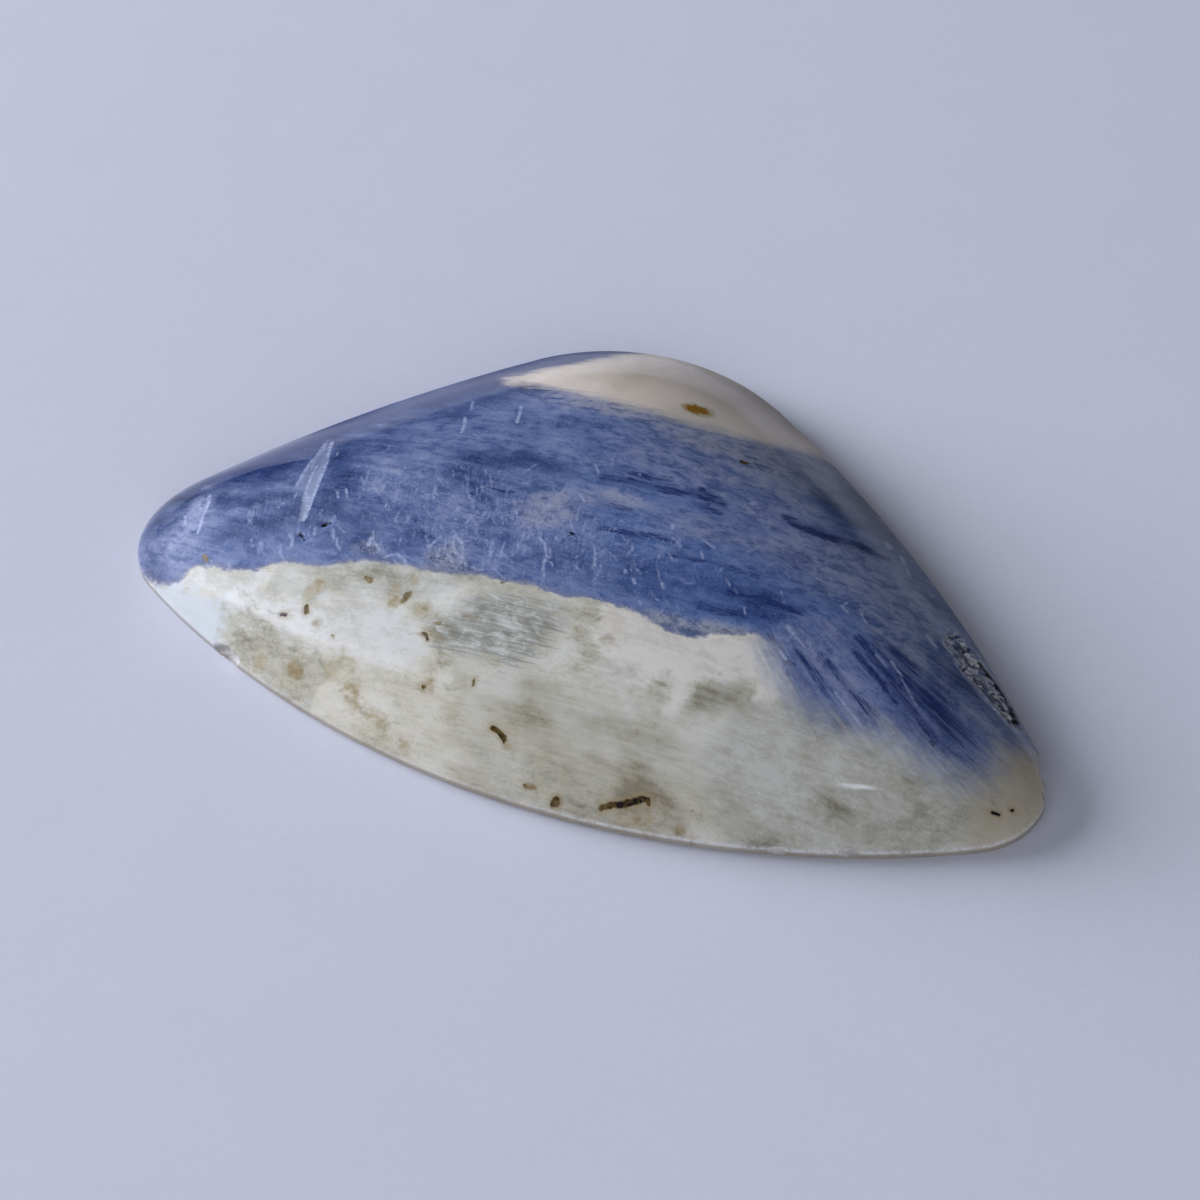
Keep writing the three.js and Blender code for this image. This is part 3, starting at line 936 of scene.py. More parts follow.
def bake_map(vertices, faces, back_starts):
    """A flat map for the bake: the dome with its wall folded outward, and the back beside it."""
    folded = GIRDLE_TOP - np.minimum(vertices[:, 2], GIRDLE_TOP)
    arms = vertices[:, :2] - CROWN
    arms = arms / np.maximum(np.hypot(*arms.T), 1e-6)[:, None]
    top = vertices[:, :2] + arms * folded[:, None]
    margin = 1.1
    half = np.abs(FINE_OUTLINE).max(axis=0) + margin
    scale = 1 / (2 * half[0])
    top = (top + half) * scale
    top[:, 1] += 1 - 2 * half[1] * scale
    shrink = 0.48
    back = (vertices[:, :2] + half) * scale * shrink
    uv = np.empty((len(faces), 3, 2))
    uv[:back_starts] = top[faces[:back_starts]]
    uv[back_starts:] = back[faces[back_starts:]]
    return uv.reshape(-1, 2)


def how_broken(vertices, relief):
    """Where a chip has moved the girdle, from 0 to 1."""
    moved = np.linalg.norm(relief - vertices, axis=1)
    return soft(moved, 0.02, 0.08) * soft(reach(vertices[:, 0], vertices[:, 1]), 0.97, 0.99)


def store(mesh, name, values):
    """Keeps a number or a vector for each vertex, for the material to read."""
    kind, key = ("FLOAT", "value") if values.ndim == 1 else ("FLOAT_VECTOR", "vector")
    layer = mesh.attributes.new(name, kind, "POINT")
    layer.data.foreach_set(key, values.astype(np.float32).ravel())


def make_stone(material):
    vertices, faces, back_starts = stone_surface()
    marks = markings(*vertices.T)
    relief = break_chips(weather(vertices, marks))
    marks["broken"] = how_broken(vertices, relief)
    marks["place"] = vertices
    marks["grain"] = blade_grain(*vertices.T)
    mesh = bpy.data.meshes.new("kyanite_cabochon")
    mesh.from_pydata((relief * MM).tolist(), [], faces.tolist())
    mesh.polygons.foreach_set("use_smooth", np.ones(len(faces), bool))
    mapped = bake_map(vertices, faces, back_starts)
    mesh.uv_layers.new(name="OFBake").data.foreach_set("uv", mapped.ravel())
    for name, values in marks.items():
        store(mesh, name, values)
    mesh.materials.append(material)
    mesh.update()
    stone = bpy.data.objects.new("kyanite_cabochon", mesh)
    bpy.context.collection.objects.link(stone)
    return stone


# ---------------------------------------------------------------- shader building


def colour_ramp(tree, value, stops):
    """A ramp over the value, through stops of a position and a colour."""
    node = tree.nodes.new("ShaderNodeValToRGB")
    tree.links.new(value, node.inputs[0])
    elements = node.color_ramp.elements
    while len(elements) < len(stops):
        elements.new(0.5)
    for element, (position, colour) in zip(elements, stops):
        element.position = position
        element.color = (*colour, 1)
    return node.outputs["Color"]


class Shader:
    """A material's node tree, with short names for what this stone's surface needs."""

    def __init__(self, name):
        self.material = bpy.data.materials.new(name)
        self.material.use_nodes = True
        self.tree = self.material.node_tree
        self.surface = self.tree.nodes["Principled BSDF"]

    def put(self, socket, value):
        """Feeds a socket from another node, from the mark of that name, or with a plain value."""
        if isinstance(value, str):
            value = self.attribute(value)
        if isinstance(value, bpy.types.NodeSocket):
            self.tree.links.new(value, socket)
        else:
            socket.default_value = value

    def attribute(self, name, output="Fac"):
        node = self.tree.nodes.new("ShaderNodeAttribute")
        node.attribute_name = name
        return node.outputs[output]

    def math(self, operation, *values):
        node = self.tree.nodes.new("ShaderNodeMath")
        node.operation = operation
        for socket, value in zip(node.inputs, values):
            self.put(socket, value)
        return node.outputs[0]

    def add(self, *terms):
        total = terms[0]
        for term in terms[1:]:
            total = self.math("ADD", total, term)
        return total

    def times(self, *factors):
        product = factors[0]
        for factor in factors[1:]:
            product = self.math("MULTIPLY", product, factor)
        return product

    def centred(self, value, amount):
        """A value around 0.5 as an offset of that amount around 0."""
        return self.math("MULTIPLY_ADD", value, 2 * amount, -amount)

    def vary(self, value, *noises):
        """A value moved up and down by noises of the given amounts."""
        return self.add(value, *(self.centred(noise, amount) for noise, amount in noises))

    def step(self, value, low, high, to_low=0.0, to_high=1.0):
        """Smooth change from to_low to to_high while the value goes from low to high."""
        node = self.tree.nodes.new("ShaderNodeMapRange")
        node.interpolation_type = "SMOOTHSTEP"
        self.put(node.inputs["Value"], value)
        for k, number in enumerate((low, high, to_low, to_high), 1):
            node.inputs[k].default_value = number
        return node.outputs["Result"]

    def noise(self, vector, stretch, detail=4.0, roughness=0.55, shift=0.0, distortion=0.0):
        scaled = self.tree.nodes.new("ShaderNodeVectorMath")
        scaled.operation = "MULTIPLY_ADD"
        self.put(scaled.inputs[0], vector)
        scaled.inputs[1].default_value = stretch
        scaled.inputs[2].default_value = (shift, shift * 0.7, shift * 1.3)
        node = self.tree.nodes.new("ShaderNodeTexNoise")
        node.inputs["Scale"].default_value = 1.0
        node.inputs["Detail"].default_value = detail
        node.inputs["Roughness"].default_value = roughness
        node.inputs["Distortion"].default_value = distortion
        self.put(node.inputs["Vector"], scaled.outputs[0])
        return node.outputs["Fac"]

    def cell_edges(self, vector, scale):
        """Distance to the borders of random cells, that many to a millimetre."""
        node = self.tree.nodes.new("ShaderNodeTexVoronoi")
        node.feature = "DISTANCE_TO_EDGE"
        node.inputs["Scale"].default_value = scale
        self.put(node.inputs["Vector"], vector)
        return node.outputs["Distance"]

    def turned(self, place, degrees):
        """The same places in coordinates turned about the vertical."""
        node = self.tree.nodes.new("ShaderNodeMapping")
        node.inputs["Rotation"].default_value = (0, 0, math.radians(degrees))
        self.put(node.inputs["Vector"], place)
        return node.outputs[0]

    def ramp(self, value, *stops):
        return colour_ramp(self.tree, value, stops)

    def mix(self, factor, a, b):
        node = self.tree.nodes.new("ShaderNodeMix")
        node.data_type = "RGBA"
        self.put(node.inputs[0], factor)
        for socket, value in ((node.inputs[6], a), (node.inputs[7], b)):
            self.put(socket, (*value, 1) if isinstance(value, tuple) else value)
        return node.outputs[2]

    def mix_values(self, factor, a, b):
        node = self.tree.nodes.new("ShaderNodeMix")
        self.put(node.inputs[0], factor)
        self.put(node.inputs[2], a)
        self.put(node.inputs[3], b)
        return node.outputs[0]

    def paint(self, base, colour, value, low, high, strength=1.0):
        """Lays a colour over the base as the value goes from low to high."""
        return self.mix(self.step(value, low, high, 0.0, strength), base, colour)

    def bump(self, height, strength, distance_mm):
        node = self.tree.nodes.new("ShaderNodeBump")
        node.inputs["Strength"].default_value = strength
        node.inputs["Distance"].default_value = distance_mm * MM
        self.put(node.inputs["Height"], height)
        return node.outputs["Normal"]


# ---------------------------------------------------------------- the stone's material

# Linear colours that are laid over others.
MILK = (0.3, 0.345, 0.47)
WARM_MILK = (0.365, 0.355, 0.345)
LACE = (0.45, 0.475, 0.54)
PAINTED_LIGHT_BLUE = (0.42, 0.5, 0.74)
DEEP_BLUE = (0.045, 0.085, 0.22)
NAVY = (0.014, 0.03, 0.13)
DARK_STREAK = (0.016, 0.028, 0.1)
PALE_STREAK = (0.27, 0.31, 0.41)
PAINTED_FLANK_SHADE = (0.004, 0.02, 0.11)
GRIT = (0.45, 0.5, 0.62)
FRINGE = (0.23, 0.22, 0.25)
AMBER_RIM = (0.45, 0.34, 0.1)
AMBER = (0.34, 0.15, 0.0)


def kyanite_noises(s, place, grain):
    """The textures that the blue's layers share: fibres and hairs along the blades, mottle and grit."""
    n = SimpleNamespace()
    n.fibres = s.noise(grain, (0.8, 3.8, 1.0), detail=5, roughness=0.68, shift=7, distortion=0.3)
    n.hairs = s.noise(grain, (1.2, 14.0, 2.0), detail=2, shift=3)
    n.mottle = s.noise(place, (1.3, 2.1, 1.6), detail=7, roughness=0.7, shift=5, distortion=0.5)
    n.grit = s.noise(place, (11.0, 11.0, 11.0), detail=2, shift=19)
    n.cloudy = s.vary(n.fibres, (n.mottle, 0.4))
    n.lacy = s.vary(n.mottle, (n.grit, 0.2))
    # Deep clouds, with the painted shade of those along the left flank.
    n.deep = s.times("deep", s.step(n.cloudy, 0.3, 0.6, 0.45, 1.1))
    return n


def blade_blue(s, n, place, grain):
    """The blue itself, from a dusty one to a vivid one."""
    wide = s.noise(grain, (0.16, 1.0, 0.5), detail=5, roughness=0.6, distortion=0.3)
    patches = s.noise(place, (0.5, 0.7, 0.5), detail=5, roughness=0.6, shift=11)
    noises = (
        (wide, 0.36),
        (n.fibres, 0.17),
        (n.hairs, 0.05),
        (patches, 0.36),
        (n.mottle, 0.52),
        (n.grit, 0.2),
    )
    tone = s.add(s.vary(0.575, *noises), s.times(n.deep, -0.46))
    vivid = s.ramp(
        tone,
        (0.0, (0.006, 0.016, 0.068)),
        (0.18, (0.03, 0.06, 0.17)),
        (0.38, (0.074, 0.128, 0.285)),
        (0.56, (0.128, 0.2, 0.385)),
        (0.78, (0.195, 0.27, 0.45)),
        (1.0, (0.29, 0.36, 0.51)),
    )
    dusty = s.ramp(
        tone,
        (0.0, (0.01, 0.018, 0.055)),
        (0.18, (0.042, 0.06, 0.128)),
        (0.38, (0.1, 0.128, 0.215)),
        (0.56, (0.172, 0.2, 0.295)),
        (0.78, (0.25, 0.275, 0.36)),
        (1.0, (0.34, 0.37, 0.44)),
    )
    return s.mix("vivid", dusty, vivid)


def with_milk(s, n, blue, grain):
    """Milky and lacy parts, painted light where light comes up through the stone, then the darker streaks
    that run through them.
    """
    smoke = s.noise(grain, (0.2, 0.8, 0.5), roughness=0.6, shift=29)
    milky = s.add(
        s.times("pale", s.step(n.mottle, 0.35, 0.6, 0.5, 1.15)),
        s.step(smoke, 0.45, 0.65, 0.0, 0.35),
        s.times(n.deep, -0.35),
    )
    warm = s.times("warm", s.step(n.mottle, 0.4, 0.6, 0.55, 1.0))
    milk = s.paint(s.mix(warm, MILK, WARM_MILK), LACE, n.lacy, 0.44, 0.62, 0.6)
    blue = s.paint(blue, milk, milky, 0.0, 1.0, 0.8)
    # Painted light: the blue is lifted where light comes up through the stone on the right.
    blue = s.mix(s.times("lift", 0.2), blue, PAINTED_LIGHT_BLUE)
    return s.paint(blue, DEEP_BLUE, n.cloudy, 0.5, 0.34, 0.38)


def with_seams(s, n, blue):
    """Navy seams, which are bundles of short dark fibres."""
    bundles = s.step(s.vary(n.fibres, (n.hairs, 0.4)), 0.38, 0.58, 0.45, 1.0)
    seam = s.vary("seam", (n.fibres, 0.45), (n.mottle, 0.45), (n.grit, 0.1))
    return s.mix(s.times(s.step(seam, -0.16, 0.06, 0.0, 0.9), bundles), blue, NAVY)


def with_second_blades(s, n, blue, grain):
    """The second set of blades has sharper, straighter streaks."""
    streaks = s.noise(grain, (0.14, 5.0, 0.6), detail=3, roughness=0.6, shift=43)
    fan = s.step("second", -0.1, 0.4)
    dark = s.times(fan, s.step(streaks, 0.52, 0.62, 0.0, 0.6), s.step(n.deep, 0.0, 0.5, 0.35, 1.0))
    blue = s.mix(dark, blue, DARK_STREAK)
    return s.mix(s.times(fan, s.step(streaks, 0.47, 0.38, 0.0, 0.35)), blue, PALE_STREAK)


def kyanite_colour(s, place, grain):
    """Blue blades: streaks along the grain, deep and milky clouds, thin seams and grey parts, with
    painted shade on the left flank.
    """
    n = kyanite_noises(s, place, grain)
    blue = with_milk(s, n, blade_blue(s, n, place, grain), grain)
    blue = with_second_blades(s, n, with_seams(s, n, blue), grain)
    # Painted shade on the back of the left flank, where it turns away.
    shade = s.times("shade", s.step(n.cloudy, 0.35, 0.6, 0.95, 0.75))
    blue = s.mix(shade, blue, PAINTED_FLANK_SHADE)
    blue = s.paint(blue, GRIT, n.grit, 0.68, 0.78, 0.45)
    grey = s.times("grey", s.step(n.cloudy, 0.34, 0.58, 0.6, 1.1))
    specked = s.paint((0.16, 0.17, 0.2), (0.42, 0.43, 0.44), n.lacy, 0.4, 0.6)
    return s.mix(grey, blue, specked)


def striped_patch(s, mottle, tilted):
    """See-through grey stripes with pale ones between them."""
    stripes = s.noise(tilted, (0.6, 10.0, 6.0), detail=5, roughness=0.72, shift=23, distortion=0.35)
    return s.ramp(
        s.vary(stripes, (mottle, 0.5)),
        (0.32, (0.24, 0.24, 0.18)),
        (0.5, (0.4, 0.395, 0.31)),
        (0.66, (0.66, 0.65, 0.54)),
    )


def matrix_colour(s, place):
    """Cream and white feldspar, see-through grey quartz and a striped patch."""
    broad = s.noise(place, (0.4, 0.45, 0.6), shift=2)
    mottle = s.noise(place, (1.5, 2.0, 2.0), detail=6, roughness=0.66, shift=9, distortion=0.5)
    fine = s.noise(place, (7.0, 9.0, 8.0), shift=4)
    tilted = s.turned(place, -4)
    drawn = s.noise(tilted, (0.6, 5.0, 3.0), detail=5, roughness=0.66, shift=15)
    tone = s.add(
        s.vary(0.53, (broad, 0.65), (mottle, 0.5), (fine, 0.2), (drawn, 0.34)),
        s.times("whiter", 0.3),
        s.times("darker", -0.38),
    )
    body = s.ramp(
        tone,
        (0.05, (0.33, 0.29, 0.18)),
        (0.35, (0.575, 0.54, 0.385)),
        (0.58, (0.705, 0.672, 0.515)),
        (0.85, (0.805, 0.782, 0.64)),
    )
    glassy = s.ramp(
        tone,
        (0.05, (0.235, 0.21, 0.13)),
        (0.45, (0.49, 0.468, 0.345)),
        (0.82, (0.68, 0.665, 0.535)),
    )
    whitish = s.paint((0.57, 0.545, 0.425), (0.71, 0.695, 0.59), tone, 0.35, 0.75)
    creamy = s.paint((0.76, 0.7, 0.54), (0.88, 0.83, 0.67), tone, 0.3, 0.7)
    striped = striped_patch(s, mottle, tilted)

    clear = s.vary("clear", (mottle, 0.8), (fine, 0.3))
    white = s.vary("white", (mottle, 1.2), (drawn, 0.6))
    cream = s.vary("cream", (broad, 0.8), (mottle, 0.5), (fine, 0.15))
    blue_grey = s.vary("blue_grey", (mottle, 0.9))
    in_stripes = s.vary("striped", (drawn, 1.6), (mottle, 1.2))
    colour = s.paint(body, glassy, clear, 0.15, 0.8)
    colour = s.paint(colour, whitish, white, -0.3, 0.3, 0.75)
    colour = s.paint(colour, creamy, cream, -0.3, 0.3, 0.92)
    colour = s.paint(colour, (0.61, 0.635, 0.6), blue_grey, -0.3, 0.35, 0.8)
    colour = s.paint(colour, striped, in_stripes, -0.4, 0.5, 0.85)
    stained = s.times("stained", s.step(mottle, 0.4, 0.62, 0.05, 0.3))
    colour = s.mix(stained, colour, (0.56, 0.42, 0.22))
    return s.paint(colour, (0.55, 0.47, 0.31), s.vary("tip", (mottle, 0.5)), 0.1, 0.9, 0.75)


def cap_colour(s, place):
    """The cream cap, warmer and darker towards the back, with painted light coming up through the stone.
    """
    cloudy = s.noise(place, (0.3, 0.25, 0.3), detail=3, shift=6)
    colour = s.ramp(
        cloudy,
        (0.35, (0.62, 0.55, 0.4)),
        (0.5, (0.8, 0.69, 0.52)),
        (0.65, (0.88, 0.77, 0.6)),
    )
    colour = s.paint(colour, (0.5, 0.41, 0.28), "cap", 1.0, 4.5, 0.6)
    # Painted light coming up through the stone reaches the cap too.
    return s.mix(s.times("lift", 0.55), colour, (0.96, 0.86, 0.68))


def zone_colour(s, t, place, grain):
    """Kyanite over the matrix, with the cap on top. It also returns how much of a place is kyanite.

    The blades end crisply along the front and fray out along their length at the second set.
    """
    second = s.step("second", -0.5, 1.2)
    crisp = s.step(s.vary("kyanite", (t.ragged, 0.2)), -0.1, 0.12)
    frayed = s.step(s.vary("kyanite", (t.fray, 0.9), (t.ragged, 0.2)), -1.5, 0.9)
    blueness = s.mix_values(second, crisp, frayed)
    colour = s.mix(blueness, matrix_colour(s, place), kyanite_colour(s, place, grain))
    fringe = s.times(s.step("kyanite", 0.32, 0.0), crisp, s.step(second, 1.0, 0.0), 0.5)
    colour = s.mix(fringe, colour, FRINGE)
    cap = s.vary("cap", (t.fray, 0.8), (t.ragged, 0.15))
    return s.paint(colour, cap_colour(s, place), cap, -0.6, 0.5), blueness


def with_cleavage(s, t, colour, blueness, place):
    """Parted cleavage, bright lines and combed scratches in the blue."""
    comb = s.noise(s.turned(place, -12), (5.0, 0.5, 0.6), detail=3, shift=12)
    feather = s.step(s.vary("feather", (t.ragged, 0.15)), -0.12, 0.14)
    colour = s.mix(s.times(feather, s.step(comb, 0.42, 0.58, 0.45, 0.85)), colour, (0.31, 0.36, 0.44))

    rubbed = s.noise(place, (0.8, 0.9, 0.8), detail=3, shift=51)
    combed = s.times("combed", blueness, s.step(rubbed, 0.42, 0.58, 0.35, 1.0))
    wisps = s.noise(place, (1.1, 1.5, 1.2), roughness=0.62, shift=47, distortion=0.9)
    wisp = s.step(s.math("ABSOLUTE", s.centred(wisps, 0.5)), 0.02, 0.003, 0.0, 0.8)
    wisp = s.times(wisp, combed, s.step(t.strokes, 0.4, 0.5))
    colour = s.mix(wisp, colour, (0.48, 0.53, 0.66))
    light_hatch = s.times(s.step(t.hatch, 0.5, 0.62, 0.0, 0.6), combed)
    dark_hatch = s.times(s.step(t.hatch, 0.47, 0.38, 0.0, 0.4), combed)
    colour = s.mix(light_hatch, colour, (0.27, 0.33, 0.5))
    colour = s.mix(dark_hatch, colour, (0.05, 0.08, 0.2))

    scratch = s.times(s.step("scratch", -0.07, 0.03, 0.0, 0.75), s.step(t.ragged, 0.4, 0.56, 0.25, 1.0))
    colour = s.mix(s.times(scratch, blueness), colour, (0.42, 0.47, 0.6))
    return s.mix(t.line, colour, (0.52, 0.58, 0.7))


def with_flake(s, t, colour, place):
    """The rough broken flake: pale lumps with dark gaps between them."""
    gaps = s.cell_edges(place, 1.25)
    lumps = s.ramp(
        s.vary(s.step(gaps, 0.0, 0.12, 0.2, 0.62), (t.crumbs, 1.6)),
        (0.15, (0.03, 0.035, 0.06)),
        (0.4, (0.2, 0.205, 0.22)),
        (0.6, (0.55, 0.55, 0.53)),
        (0.85, (0.85, 0.84, 0.8)),
    )
    left_over = s.noise(place, (0.9, 0.9, 0.9), detail=3, shift=57)
    return s.mix(s.times(t.flake, s.step(left_over, 0.48, 0.6, 1.0, 0.6)), colour, lumps)


def with_stains(s, t, colour, blueness):
    """Flecks with rusty halos in the matrix, smudges, the painted shadow line along the flake, hairline
    cracks and the amber spot.
    """
    stain = s.ramp(
        s.vary("darkness", (t.crumbs, 0.5)),
        (0.2, (0.5, 0.43, 0.27)),
        (0.4, (0.38, 0.28, 0.12)),
        (0.65, (0.19, 0.14, 0.05)),
        (0.9, (0.1, 0.058, 0.01)),
        (1.0, (0.008, 0.006, 0.004)),
    )
    crisp = s.step(s.vary("fleck", (t.ragged, 0.05)), -0.09, -0.035)
    smudge = s.step(s.vary("fleck", (t.ragged, 0.35)), -0.3, 0.12, 0.0, 0.75)
    in_matrix = s.step(blueness, 0.8, 0.2)
    halo = s.times(s.step("fleck", -0.26, -0.06, 0.0, 0.45), s.step("darkness", 0.5, 0.8), in_matrix)
    colour = s.mix(halo, colour, (0.42, 0.3, 0.12))
    colour = s.mix(s.mix_values(s.step("darkness", 0.4, 0.65), smudge, crisp), colour, stain)
    colour = s.mix(s.times(s.step("crack", -0.04, 0.01), 0.35), colour, (0.3, 0.27, 0.2))
    amber = s.vary("amber", (t.ragged, 0.3))
    colour = s.paint(colour, AMBER_RIM, amber, -0.3, 0.05, 0.7)
    return s.paint(colour, AMBER, amber, -0.05, 0.15, 0.95)


def with_painted_edge_light_and_breaks(s, t, colour):
    """Painted shade on the girdle's wall, a painted highlight along the ridge above it, fresh breaks and
    the back.
    """
    # Painted shade on the upright wall, brownish grey, and a painted highlight along the ridge above it.
    ridge = s.times("ridge", s.step(t.ragged, 0.42, 0.56, 0.2, 0.8))
    colour = s.mix(s.times("wall", 0.75), colour, (0.3, 0.25, 0.19))
    colour = s.mix(ridge, colour, (0.78, 0.77, 0.72))
    colour = s.mix(s.times("broken", 0.6), colour, (0.76, 0.74, 0.68))
    return s.mix(s.times("back", 0.35), colour, (0.4, 0.4, 0.36))


def shared_textures(s, place, grain):
    """The noises and marks that both the colour and the finish use."""
    t = SimpleNamespace()
    t.ragged = s.noise(place, (3.5, 5.0, 4.0), roughness=0.6, shift=31)
    t.fray = s.noise(grain, (0.5, 5.0, 1.0), detail=5, roughness=0.7, shift=17)
    t.crumbs = s.noise(place, (2.5, 2.5, 2.5), roughness=0.62, shift=14, distortion=0.3)
    across = s.turned(place, -20)
    t.strokes = s.noise(across, (6.5, 1.1, 2.0), detail=5, roughness=0.7, shift=8, distortion=0.9)
    steeper = s.turned(place, -27)
    nicks = s.noise(steeper, (13.0, 2.0, 3.0), detail=3, roughness=0.6, shift=33, distortion=0.6)
    t.hatch = s.add(s.times(t.strokes, 0.6), s.times(nicks, 0.4))
    t.line = s.times(s.step("line", -0.12, -0.02), s.step(t.ragged, 0.4, 0.58, 0.3, 0.75))
    t.flake = s.step(s.vary("flake", (t.ragged, 0.9)), -0.08, 0.12)
    return t


def stone_material():
    s = Shader("polished_kyanite")
    place = s.attribute("place", "Vector")
    grain = s.attribute("grain", "Vector")
    t = shared_textures(s, place, grain)
    colour, blueness = zone_colour(s, t, place, grain)
    colour = with_cleavage(s, t, colour, blueness, place)
    colour = with_flake(s, t, colour, place)
    colour = with_stains(s, t, colour, blueness)
    colour = with_painted_edge_light_and_breaks(s, t, colour)
    dullness = s.add(
        s.centred(t.ragged, 0.03),
        0.1,
        s.times(t.flake, 0.45),
        s.times("broken", 0.6),
        s.times("back", 0.4),
        s.times("dull", 0.5),
        s.times(t.line, 0.1),
    )
    relief = s.add(s.times(t.hatch, 0.4), s.times(t.fray, 0.6), s.times(t.crumbs, s.times(t.flake, 8.0)))
    s.put(s.surface.inputs["Base Color"], colour)
    s.put(s.surface.inputs["Roughness"], dullness)
    s.surface.inputs["IOR"].default_value = 1.45
    s.put(s.surface.inputs["Normal"], s.bump(relief, 0.1, 0.02))
    return s.material


# ---------------------------------------------------------------- floor, light and camera

VIEW_AZIMUTH = 23.7
VIEW_ELEVATION = 46.2
VIEW_DISTANCE = 140.0
VIEW_TARGET = (-0.72, -1.23, 0.0)
FOCAL_LENGTH = 94.5
SENSOR = 36.0
FLOOR_HALF = 1.5


def camera_axes():
    """The camera's right, its heading along the floor, and up."""
    turn = math.radians(VIEW_AZIMUTH)
    right = Vector((math.cos(turn), math.sin(turn), 0))
    ahead = Vector((-math.sin(turn), math.cos(turn), 0))
    return right, ahead, Vector((0, 0, 1))


def toward(right, ahead, up):
    """A direction given along the camera's right, ahead along the floor, and up."""
    axes = camera_axes()
    return (axes[0] * right + axes[1] * ahead + axes[2] * up).normalized()


def make_camera():
    data = bpy.data.cameras.new("camera")
    data.lens = FOCAL_LENGTH
    data.sensor_width = SENSOR
    data.clip_start = 0.01
    data.clip_end = 20
    camera = bpy.data.objects.new("camera", data)
    rise = math.radians(VIEW_ELEVATION)
    back = toward(0, -math.cos(rise), math.sin(rise))
    camera.location = (Vector(VIEW_TARGET) + back * VIEW_DISTANCE) * MM
    camera.rotation_mode = "QUATERNION"
    camera.rotation_quaternion = (-back).to_track_quat("-Z", "Y")
    bpy.context.collection.objects.link(camera)
    bpy.context.scene.camera = camera


def paper_material():
    s = Shader("pale_paper")
    co = s.tree.nodes.new("ShaderNodeTexCoord").outputs["Object"]
    pulp = s.noise(co, (2600.0, 2600.0, 2600.0), detail=3)
    felt = s.noise(co, (260.0, 260.0, 260.0), shift=3)
    tone = s.add(0.5, s.centred(pulp, 0.25), s.centred(felt, 0.2))
    colour = s.ramp(tone, (0.2, (0.79, 0.79, 0.8)), (0.8, (0.84, 0.84, 0.845)))
    s.put(s.surface.inputs["Base Color"], colour)
    s.surface.inputs["Roughness"].default_value = 0.85
    s.put(s.surface.inputs["Normal"], s.bump(pulp, 0.25, 0.03))
    return s.material


def make_floor():
    half = FLOOR_HALF
    mesh = bpy.data.meshes.new("paper_floor")
    corners = [(-half, -half, 0), (half, -half, 0), (half, half, 0), (-half, half, 0)]
    mesh.from_pydata(corners, [], [(0, 1, 2, 3)])
    mesh.materials.append(paper_material())
    floor = bpy.data.objects.new("paper_floor", mesh)
    bpy.context.collection.objects.link(floor)


# One low key light from the left makes the soft shadow, with a faint fill from behind the camera.
# Each is a direction along the camera's right, ahead and up, then width and height, and radiance.
KEY = ((-0.88, 0.34, 0.33), (0.4, 0.3), 13.2)
FILL = ((-0.15, -0.85, 0.5), (0.84, 0.32), 1.5)
LIGHT_DISTANCE = 0.6
LIGHT_COLOUR = (0.88, 0.93, 1.18)
# What the polish mirrors is a window whose near edge lies in a plane through the stone. Each band is
# given by its angles from that plane, its angles along it from the horizon up, and its radiance.
WINDOW_PLANE = (0.19, 0.84, 0.5)
WINDOW_BAND = (0, 44, -6, 62, 3.6)
LOW_BAND = (0, -16, -6, 62, 2.4)
# A small bright lamp above and behind the camera.
LAMP_DIRECTION = (0.13, -0.54, 0.83)
LAMP_SIZE = (0.028, 0.004)
LAMP_RADIANCE = 75.0
# The room is dark, a little brighter towards the window and the camera than on the far right.
ROOM_BRIGHT_SIDE = (-0.6, -0.75, 0.1)
ROOM_DARK = (0.035, 0.037, 0.047)
ROOM_BRIGHT = (0.16, 0.17, 0.21)
ROOM_SPAN = (-0.8, 0.9)


def make_light(name, towards, long_way, sizes, radiance, distance=LIGHT_DISTANCE):
    """A rectangle of light that faces the stone from that direction, its width along long_way."""
    data = bpy.data.lights.new(name, "AREA")
    data.shape = "RECTANGLE"
    data.size, data.size_y = sizes
    data.energy = radiance * math.pi * sizes[0] * sizes[1]
    data.color = LIGHT_COLOUR
    light = bpy.data.objects.new(name, data)
    across = (long_way - towards * long_way.dot(towards)).normalized()
    turn = Matrix((across, towards.cross(across), towards)).transposed()
    light.matrix_world = Matrix.Translation(towards * distance) @ turn.to_4x4()
    bpy.context.collection.objects.link(light)
    return light


def fade(light, across_stops, along_stops):
    """Varies a rectangle's brightness across its width and along its height."""
    light.data.use_nodes = True
    tree = light.data.node_tree
    where = tree.nodes.new("ShaderNodeNewGeometry").outputs["Parametric"]
    parts = tree.nodes.new("ShaderNodeSeparateXYZ")
    tree.links.new(where, parts.inputs[0])
    product = tree.nodes.new("ShaderNodeMath")
    product.operation = "MULTIPLY"
    for k, stops in enumerate((across_stops, along_stops)):
        greys = [(position, (level,) * 3) for position, level in stops]
        tree.links.new(colour_ramp(tree, parts.outputs[k], greys), product.inputs[k])
    tree.links.new(product.outputs[0], tree.nodes["Emission"].inputs["Strength"])


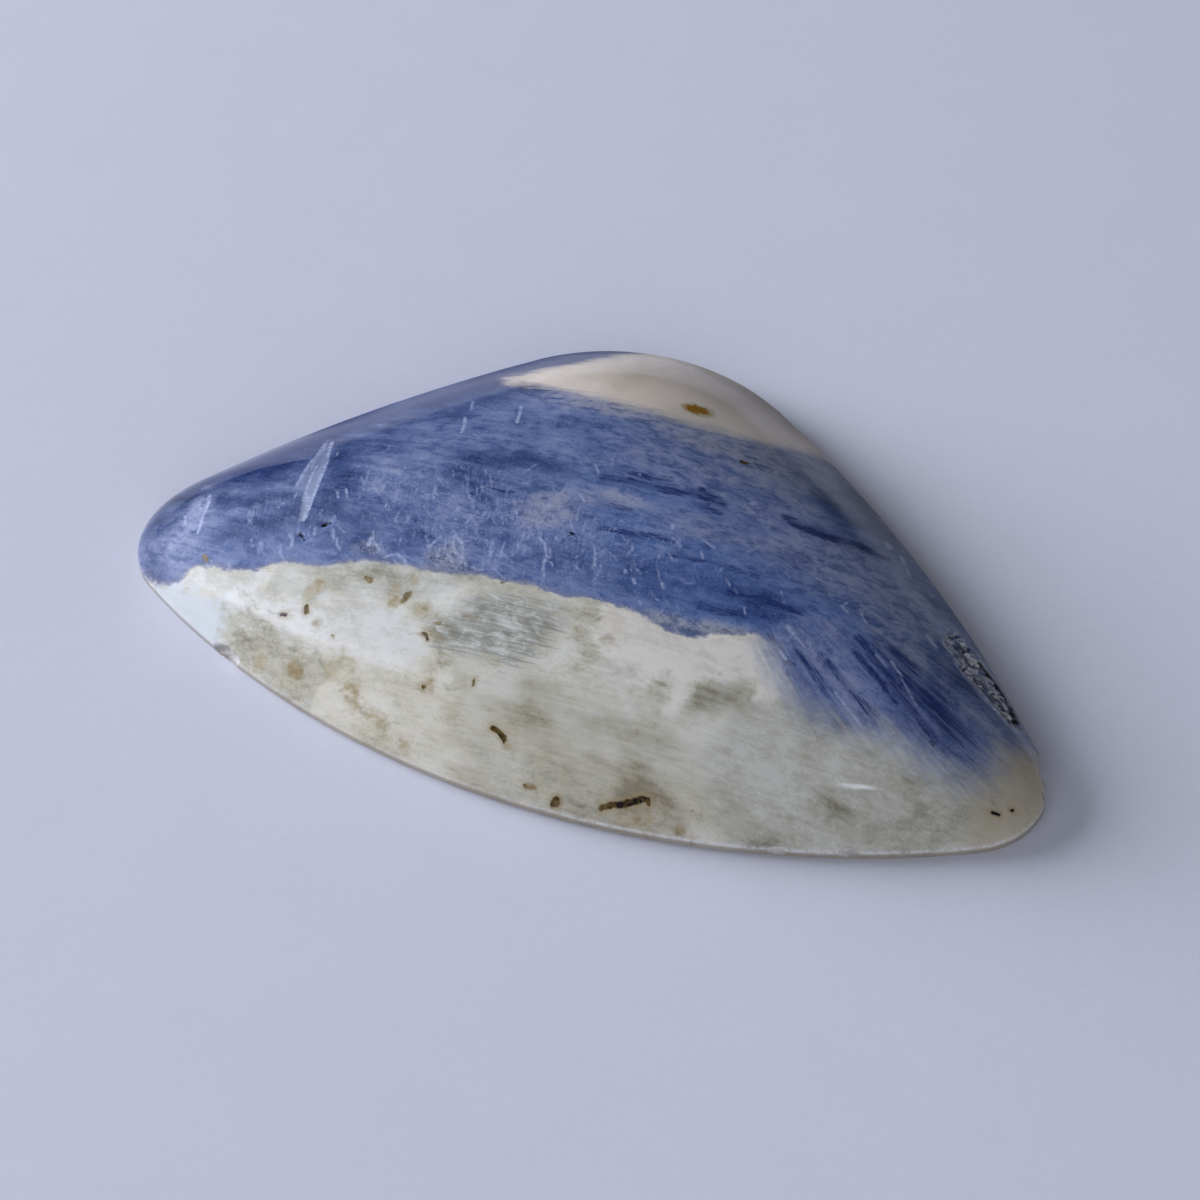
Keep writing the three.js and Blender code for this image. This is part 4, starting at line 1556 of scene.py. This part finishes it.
def make_band(name, band, across_stops, along_stops):
    near, far, low, high, radiance = band
    plane = toward(*WINDOW_PLANE)
    level = plane.cross(Vector((0, 0, 1))).normalized()
    if level.dot(toward(-1, 0, 0)) < 0:
        level = -level
    steep = (Vector((0, 0, 1)) - plane * plane.z).normalized()
    middle, rise = math.radians((near + far) / 2), math.radians((low + high) / 2)
    foot = level * math.cos(rise) + steep * math.sin(rise)
    centre = foot * math.cos(middle) + plane * math.sin(middle)
    half_turn = math.radians(abs(far - near)) / 2
    distance = LIGHT_DISTANCE * math.cos(half_turn)
    width = 2 * distance * math.tan(half_turn)
    height = 2 * distance * math.tan(math.radians(high - low) / 2)
    outward = plane if far > near else -plane
    window = make_light(name, centre, outward, (width, height), radiance, distance)
    window.visible_diffuse = False
    fade(window, across_stops, along_stops)


def make_lights():
    make_band(
        "window",
        WINDOW_BAND,
        ((0.0, 1.0), (0.1, 0.85), (0.22, 0.4), (0.6, 0.2), (1.0, 0.0)),
        ((0.0, 0.0), (0.1, 1.0), (0.5, 1.0), (0.62, 0.35), (1.0, 0.12)),
    )
    make_band(
        "low_window",
        LOW_BAND,
        ((0.0, 1.0), (0.6, 0.7), (1.0, 0.0)),
        ((0.0, 0.5), (0.07, 0.6), (0.32, 1.0), (0.47, 0.0)),
    )
    for name, (direction, sizes, radiance) in (("key", KEY), ("fill", FILL)):
        towards = toward(*direction)
        level = Vector((0, 0, 1)).cross(towards)
        make_light(name, towards, level, sizes, radiance).visible_glossy = False
    make_light("lamp", toward(*LAMP_DIRECTION), toward(1, 0, 0), LAMP_SIZE, LAMP_RADIANCE)


def make_room():
    world = bpy.data.worlds.new("room")
    world.use_nodes = True
    tree = world.node_tree
    direction = tree.nodes.new("ShaderNodeTexCoord").outputs["Generated"]
    facing = tree.nodes.new("ShaderNodeVectorMath")
    facing.operation = "DOT_PRODUCT"
    tree.links.new(direction, facing.inputs[0])
    facing.inputs[1].default_value = toward(*ROOM_BRIGHT_SIDE)
    ramp = tree.nodes.new("ShaderNodeMapRange")
    tree.links.new(facing.outputs["Value"], ramp.inputs["Value"])
    ramp.inputs["From Min"].default_value, ramp.inputs["From Max"].default_value = ROOM_SPAN
    mix = tree.nodes.new("ShaderNodeMix")
    mix.data_type = "RGBA"
    tree.links.new(ramp.outputs["Result"], mix.inputs[0])
    mix.inputs[6].default_value = (*ROOM_DARK, 1)
    mix.inputs[7].default_value = (*ROOM_BRIGHT, 1)
    tree.links.new(mix.outputs[2], tree.nodes["Background"].inputs["Color"])
    bpy.context.scene.world = world


# ---------------------------------------------------------------- all together

scene = bpy.context.scene
scene.view_settings.view_transform = "Standard"
scene.view_settings.look = "None"

make_camera()
make_floor()
make_lights()
make_room()

stone = make_stone(stone_material())
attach(stone, "root")
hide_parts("stone")
